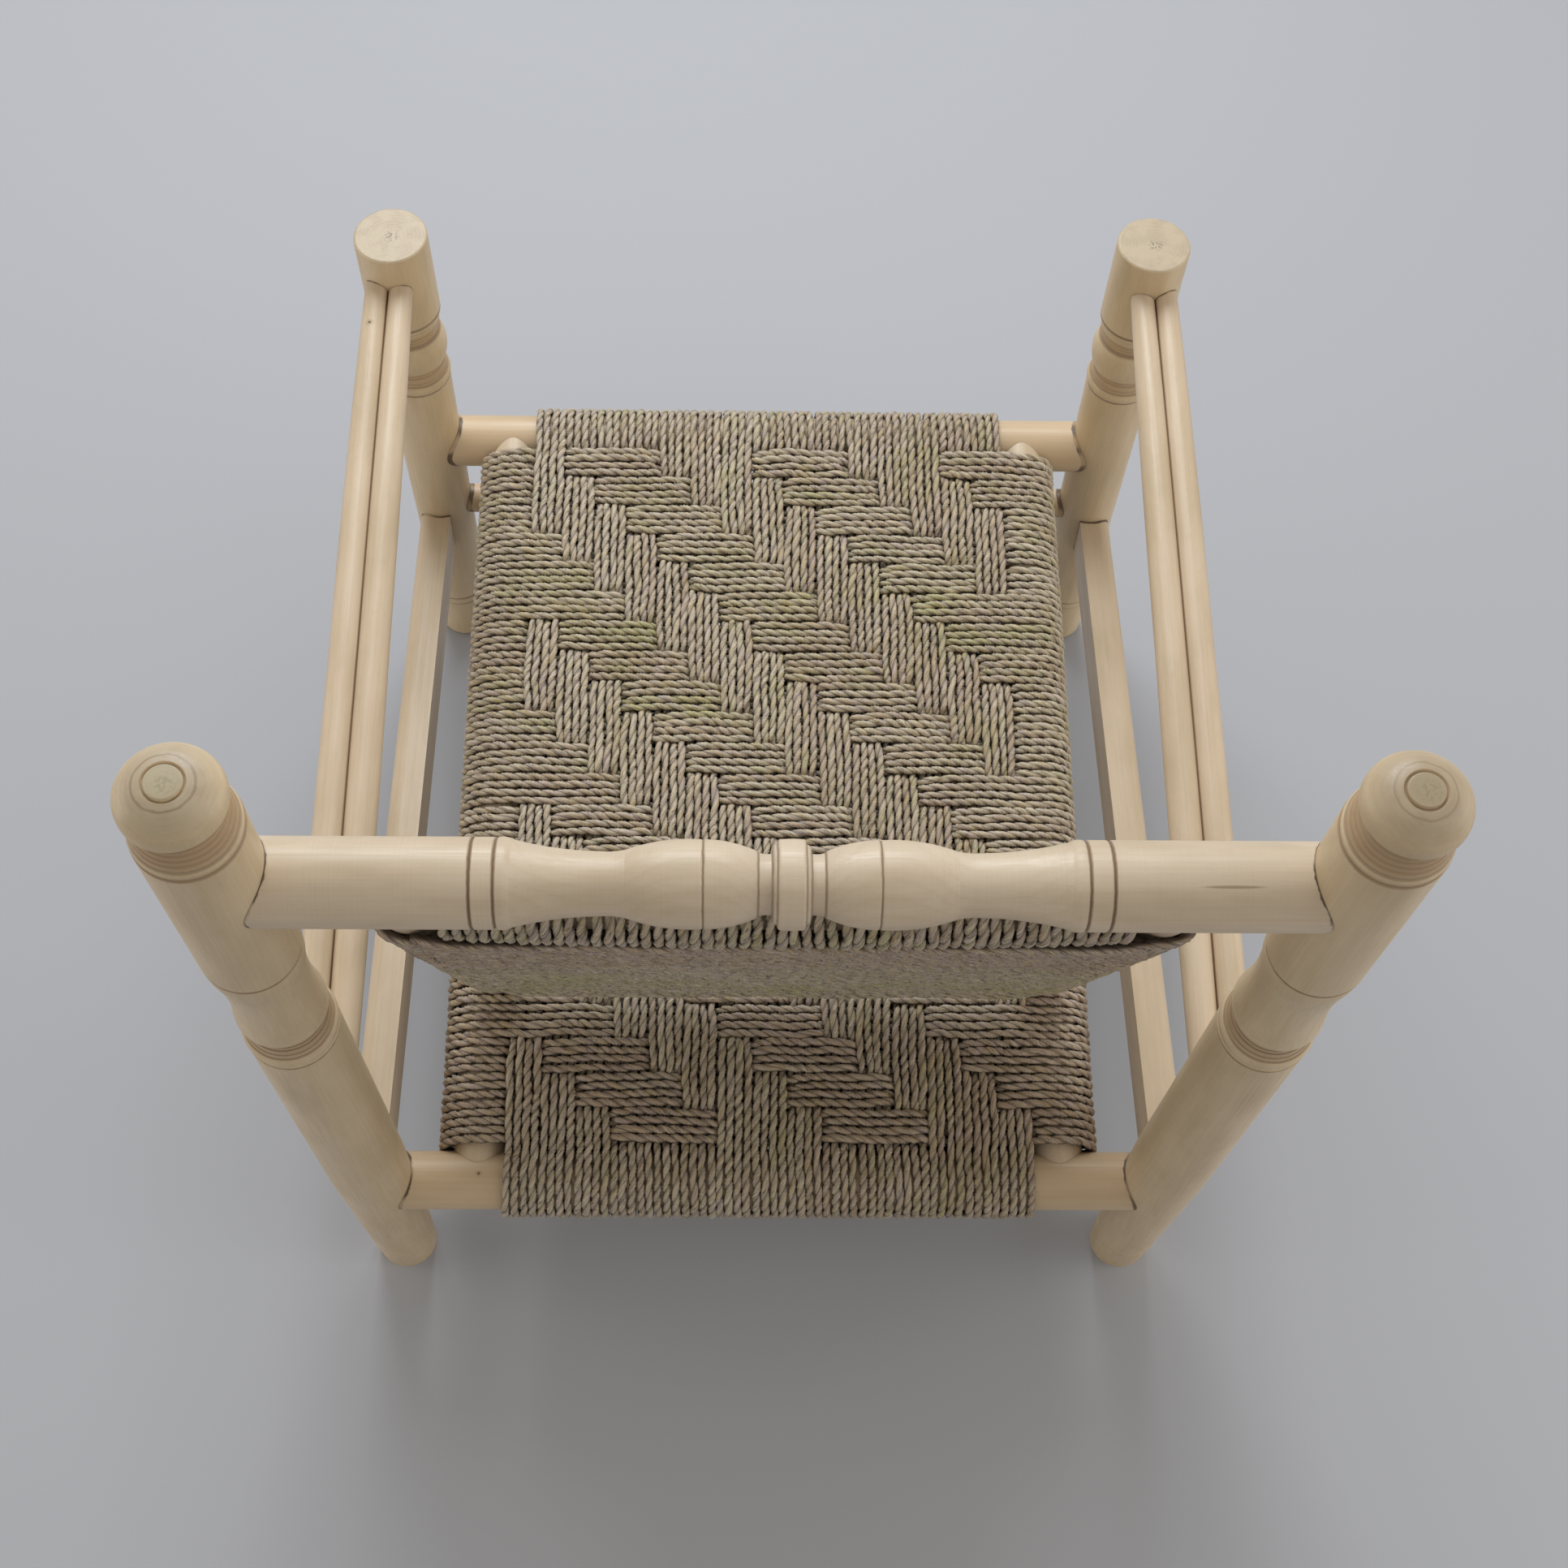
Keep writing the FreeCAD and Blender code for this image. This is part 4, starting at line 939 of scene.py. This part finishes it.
class CHAIR_OT_finish_posts(bpy.types.Operator):
    """Finish the front and rear posts in grained wood with burnt lines"""
    bl_idname = "chair.finish_posts"
    bl_label = "Finish Posts"

    FRONT_MARKS = ((61, 0.8, 0.35), (70, 1.0, 0.75), (395.6, 1.2, 0.8),
                   (407.2, 1.0, 0.4), (410.2, 1.0, 0.3),
                   (416.3, 1.2, 0.35), (421.0, 2.2, 0.6), (458.0, 2.2, 0.5), (463.8, 1.0, 0.35),
                   (468.9, 1.2, 0.45), (477, 1.0, 0.3), (483.5, 1.9, 0.75))
    # Bands over the front posts' recesses, in millimetres: burnt colour and painted shade.
    FRONT_SHADES = ((403, 426, 0.55), (454, 475, 0.55))
    REAR_MARKS = ((51, 1.0, 0.8), (60, 0.7, 0.3), (617, 1.5, 0.95), (632.5, 0.9, 0.65),
                  (637, 0.8, 0.6), (643.0, 0.9, 0.8), (646.8, 0.9, 0.8), (653.2, 1.5, 0.7),
                  (768, 1.5, 0.95), (945.2, 1.9, 0.6), (952.4, 1.2, 0.5), (957.0, 0.9, 0.3),
                  (961.2, 0.9, 0.35), (965.4, 0.9, 0.3), (969.4, 0.9, 0.3), (976.6, 1.8, 0.5),
                  (1000.9, 0.35, 0.5))
    # Bands over the rear posts' turned rings and the neck under the ball, in millimetres: burnt colour and
    # painted shade.
    REAR_SHADES = ((629, 662, 0.6), (942, 950, 0.5), (949, 981, 0.8))
    TONES = {"front": (1.10, 1.05, 0.91), "rear": (1.09, 1.045, 0.925)}
    PITH = (1.2 * MM, 0.8 * MM)
    BALL_END = 1002.6 * MM
    BALL_DEPTH = 22 * MM
    STAIN_R = 36 * MM
    BUTTON_R = 10.6 * MM
    BUTTONS = {"left": (0.52, 0.46, 0.30), "right": (0.36, 0.29, 0.18)}

    def ball_spots(self, side, foot, axis):
        """The button of a ball, and the stain over the right ball."""
        spots = [(foot + axis * self.BALL_END, self.BUTTON_R, 0.6, self.BUTTONS[side], ROUND)]
        if side == "right":
            ball = foot + axis * (self.BALL_END - self.BALL_DEPTH)
            spots.insert(0, (ball, self.STAIN_R, 0.42, (0.40, 0.29, 0.18), ROUND))
        return spots

    def execute(self, context):
        wood = context.scene.chair_wood
        for number, (which, marks, shades) in enumerate((
            ("front", self.FRONT_MARKS, self.FRONT_SHADES),
            ("rear", self.REAR_MARKS, self.REAR_SHADES),
        )):
            for side in SIDES:
                foot, direction = post_line(which, side)
                shift = 0.31 * number + left_only(side, 0.17)
                spots = self.ball_spots(side, foot, unit(direction)) if which == "rear" else ()
                material = wood_material(f"{which}_post_{side}_wood", wood, Timber(
                    foot, direction, self.PITH, shift, self.TONES[which], True,
                    scaled(marks), scaled(shades), spots=spots))
                if which == "front":
                    dress(f"front_post_{side}", material)
                    continue
                piece = turned_surface(
                    f"turned_rear_post_{side}", REAR_POST_OUTLINE, foot, direction, material)
                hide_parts(f"rear_post_{side}")
        return {"FINISHED"}


class CHAIR_OT_finish_rails(bpy.types.Operator):
    """Finish the crest rail, the seat and back rails, the stretcher and the boards"""
    bl_idname = "chair.finish_rails"
    bl_label = "Finish Rails and Boards"

    CREST_MARKS = ((180.8, 1.2, 0.95), (167.3, 1.1, 0.9), (50.3, 0.8, 0.85), (19.3, 0.9, 0.6),
                   (11.2, 0.8, 0.45), (8.4, 0.8, 0.45))
    CRACK = np.array([-247.5, 12.3, 23.4]) * MM
    CRACK_R = 1.0 * MM
    CRACK_SHRINK = (0.055, 1.0, 1.0)
    ROUND_RAILS = (
        ("seat_front_rail", "front"), ("seat_rear_rail", "rear"), ("lower_front_stretcher", "front"),
        ("back_top_rail", None), ("back_bottom_rail", None),
    )
    KNOT_X, KNOT_BACK, KNOT_R = 239.0 * MM, 3 * MM, 1.4 * MM
    # Each side bar's direction, the place of its pith and the round of its post at the joint
    SIDE_BARS = (
        ("seat_side_rail", SEAT.along, (5 * MM, 3 * MM), None),
        ("side_board", (0.0, 1.0, 0.07), (26 * MM, 14 * MM), 29.6 * MM),
        ("back_stile", BACK.along, (5 * MM, 3 * MM), None),
    )

    def execute(self, context):
        wood = context.scene.chair_wood
        middle, _ = rail_line("crest_rail")
        crack = [(middle + self.CRACK, self.CRACK_R, 0.6, (0.25, 0.15, 0.07), self.CRACK_SHRINK)]
        both = [(sign * mark, half, strength)
                for mark, half, strength in self.CREST_MARKS for sign in (1, -1)]
        rear = [joint_with("rear", side) for side in SIDES]
        dress("crest_rail", wood_material("crest_rail_wood", wood, Timber(
            middle, ALONG_X, (7 * MM, -4 * MM), 0.11, (1.11, 1.10, 1.10), True,
            scaled(both), joints=rear, spots=crack)))
        for number, (node, which) in enumerate(self.ROUND_RAILS):
            middle, radius = rail_line(node)
            joints = [joint_with(which, side) for side in SIDES] if which else ()
            spots = ()
            if which == "rear":
                spots = knot((self.KNOT_X, middle[1] + self.KNOT_BACK, middle[2] + radius), self.KNOT_R)
            dress(node, wood_material(f"{node}_wood", wood, Timber(
                middle, ALONG_X, (0.4 * radius, 0.3 * radius), 0.13 * number + 0.4, (1.04, 0.95, 0.82),
                joints=joints, spots=spots)))
        for number, (stem, axis, pith, joint_r) in enumerate(self.SIDE_BARS):
            for side in SIDES:
                middle = sum(corners(f"{stem}_{side}")) / 2
                joints = [joint_with("front", side, joint_r)] if joint_r else ()
                dress(f"{stem}_{side}", wood_material(f"{stem}_{side}_wood", wood, Timber(
                    middle, axis, pith, 0.21 * number + left_only(side, 0.09), (1.02, 0.98, 0.93),
                    joints=joints)))
        return {"FINISHED"}


# The ends of the seam between the left pair of arms
ARM_FRONT = np.array([FRONT_FOOT_X + 10.05 * MM + 4.0 * MM, FRONT_LINE_Y, 537.5 * MM])
ARM_REAR = np.array([REAR_POST_X + 5.9 * MM, FRONT_LINE_Y + 730.9 * MM, 452.5 * MM])


class CHAIR_OT_finish_arms(bpy.types.Operator):
    """Finish the pairs of arm spindles, with the dark seam between them"""
    bl_idname = "chair.finish_arms"
    bl_label = "Finish Arms"

    KNOT_SHARE = 0.094
    KNOT_OFF = np.array([12.0 * MM, 0.0, 10.4 * MM])
    KNOT_R = 1.6 * MM

    def execute(self, context):
        wood = context.scene.chair_wood
        for side in SIDES:
            flip = np.array([1.0 if side == "left" else -1.0, 1.0, 1.0])
            start, run = ARM_FRONT * flip, (ARM_REAR - ARM_FRONT) * flip
            normal = np.cross(run, [0.0, 0.0, 1.0])
            for number, lane in enumerate(("outer", "inner")):
                spots = ()
                if side == "left" and lane == "outer":
                    spots = knot(start + run * self.KNOT_SHARE + self.KNOT_OFF, self.KNOT_R)
                dress(f"arm_dowel_{lane}_{side}", wood_material(f"arm_{lane}_{side}_wood", wood, Timber(
                    start, run, (4 * MM, 3 * MM), 0.27 * number + left_only(side, 0.05), (1.05, 1.01, 0.97),
                    joints=[joint_with("front", side)], seams=[(start, normal)], spots=spots)))
        return {"FINISHED"}


class CHAIR_OT_weave_seat(bpy.types.Operator):
    """Weave the seat in a twill of twisted cord"""
    bl_idname = "chair.weave_seat"
    bl_label = "Weave Seat"

    SEED = 21
    STILE_SHIFT = 6 * MM
    STILE_ROOM = 10.5 * MM

    def execute(self, context):
        stile_x, _ = bar_line("back_stile_left")
        meeting = np.linalg.solve(
            np.stack([SEAT.along[1:], -BACK.along[1:]], axis=1), (BACK.start - SEAT.start)[1:])[0]
        posts = [(side * stile_x, meeting + self.STILE_SHIFT, self.STILE_ROOM) for side in (1, -1)]
        weave_panel(SEAT, context.scene.chair_cords, self.SEED, posts)
        return {"FINISHED"}


class CHAIR_OT_weave_back(bpy.types.Operator):
    """Weave the back in the same twill, with plain rows behind"""
    bl_idname = "chair.weave_back"
    bl_label = "Weave Back"

    SEED = 34

    def execute(self, context):
        weave_panel(BACK, context.scene.chair_cords, self.SEED)
        return {"FINISHED"}


# The camera's place from the front posts' line, and its directions
CAMERA_PLACE = (37.319 * MM, 1362.915 * MM, 2001.545 * MM)
CAMERA_RIGHT = (-0.99965769, 0.00738597, 0.02509888)
CAMERA_UP = (0.00617896, -0.86553735, 0.50080627)
CAMERA_FORWARD = (-0.02542296, -0.50078992, -0.86519543)
PHOTO_FRAME = 1932
FOCAL_PIXELS = 2778.06
SENSOR = 36.0
CAMERA_REACH = 60.0
FLOOR_REACH = 14.0
# Each lamp's name, place, aim, size, share of the key light's power, and colour
LAMPS = (
    ("key", (0.25, -2.2, 2.9), (0.0, -0.2, 0.3), 2.2, 1.0, (0.90, 0.955, 1.0)),
    ("fill", (-2.4, 1.2, 2.4), (0.0, 0.1, 0.4), 2.0, 0.13, (0.96, 0.98, 1.0)),
    ("left side", (2.7, 0.2, 0.9), (0.0, 0.0, 0.5), 1.8, 0.17, (1.0, 0.94, 0.82)),
    ("right side", (-2.7, 0.2, 0.9), (0.0, 0.0, 0.5), 1.8, 0.17, (1.0, 0.94, 0.82)),
)


class CHAIR_OT_set_stage(bpy.types.Operator):
    """Set the plain floor, the soft studio light and the camera"""
    bl_idname = "chair.set_stage"
    bl_label = "Set Stage"

    def lay_floor(self, scene, colour):
        """A large plain floor at the foot of the chair."""
        edges = ((-1, -1), (1, -1), (1, 1), (-1, 1))
        mesh = bpy.data.meshes.new("floor")
        mesh.from_pydata([(x * FLOOR_REACH, y * FLOOR_REACH, 0) for x, y in edges], [], [(0, 1, 2, 3)])
        floor = bpy.data.objects.new("floor", mesh)
        scene.collection.objects.link(floor)
        tree = NodeTree("pale_floor")
        tree.finish(rgba(colour), 0.62, 0.25)
        mesh.materials.append(tree.material)

    def light(self, scene, stage):
        """Even light from all round, and the lamps."""
        world = bpy.data.worlds.new("studio")
        world.use_nodes = True
        background = world.node_tree.nodes["Background"]
        background.inputs["Color"].default_value = (1.0, 0.97, 0.905, 1.0)
        background.inputs["Strength"].default_value = stage.world
        scene.world = world
        for name, place, aim, size, share, colour in LAMPS:
            lamp = bpy.data.lights.new(name, "AREA")
            lamp.energy = stage.key * share
            lamp.color = colour
            lamp.shape = "DISK"
            lamp.size = size
            holder = bpy.data.objects.new(name, lamp)
            holder.location = place
            holder.rotation_euler = (Vector(aim) - Vector(place)).to_track_quat("-Z", "Y").to_euler()
            scene.collection.objects.link(holder)

    def place_camera(self, scene):
        """The camera at the photo's viewpoint."""
        lens = bpy.data.cameras.new("viewpoint")
        lens.sensor_width = SENSOR
        lens.sensor_fit = "HORIZONTAL"
        lens.lens = FOCAL_PIXELS / PHOTO_FRAME * SENSOR
        lens.clip_end = CAMERA_REACH
        camera = bpy.data.objects.new("viewpoint", lens)
        right, up, back = Vector(CAMERA_RIGHT), Vector(CAMERA_UP), -Vector(CAMERA_FORWARD)
        turn = Matrix((right, up, back)).transposed().to_4x4()
        place = Vector(CAMERA_PLACE) + Vector((0.0, FRONT_LINE_Y, 0.0))
        camera.matrix_world = Matrix.Translation(place) @ turn
        scene.collection.objects.link(camera)
        scene.camera = camera

    def execute(self, context):
        scene = context.scene
        self.lay_floor(scene, scene.chair_stage.floor)
        self.light(scene, scene.chair_stage)
        self.place_camera(scene)
        scene.view_settings.view_transform = "Standard"
        return {"FINISHED"}


class CHAIR_PT_panel(bpy.types.Panel):
    """The chair's sizes, colours and pieces"""
    bl_idname = "CHAIR_PT_panel"
    bl_label = "Woven Armchair"
    bl_space_type = "VIEW_3D"
    bl_region_type = "UI"
    bl_category = "Chair"

    def draw(self, context):
        layout = self.layout
        for settings in (context.scene.chair_cords, context.scene.chair_wood, context.scene.chair_stage):
            for name in settings.__annotations__:
                layout.prop(settings, name)
        for operator in OPERATORS:
            layout.operator(operator.bl_idname)


OPERATORS = (
    CHAIR_OT_finish_posts,
    CHAIR_OT_finish_rails,
    CHAIR_OT_finish_arms,
    CHAIR_OT_weave_seat,
    CHAIR_OT_weave_back,
    CHAIR_OT_set_stage,
)
SETTINGS = (CordSettings, WoodSettings, StageSettings)


def register():
    for item in (*SETTINGS, *OPERATORS, CHAIR_PT_panel):
        bpy.utils.register_class(item)
    bpy.types.Scene.chair_cords = bpy.props.PointerProperty(type=CordSettings)
    bpy.types.Scene.chair_wood = bpy.props.PointerProperty(type=WoodSettings)
    bpy.types.Scene.chair_stage = bpy.props.PointerProperty(type=StageSettings)


def unregister():
    del bpy.types.Scene.chair_stage
    del bpy.types.Scene.chair_wood
    del bpy.types.Scene.chair_cords
    for item in reversed((*SETTINGS, *OPERATORS, CHAIR_PT_panel)):
        bpy.utils.unregister_class(item)


def main():
    register()
    bpy.ops.chair.finish_posts()
    bpy.ops.chair.finish_rails()
    bpy.ops.chair.finish_arms()
    bpy.ops.chair.weave_seat()
    bpy.ops.chair.weave_back()
    bpy.ops.chair.set_stage()


if __name__ == "__main__":
    main()
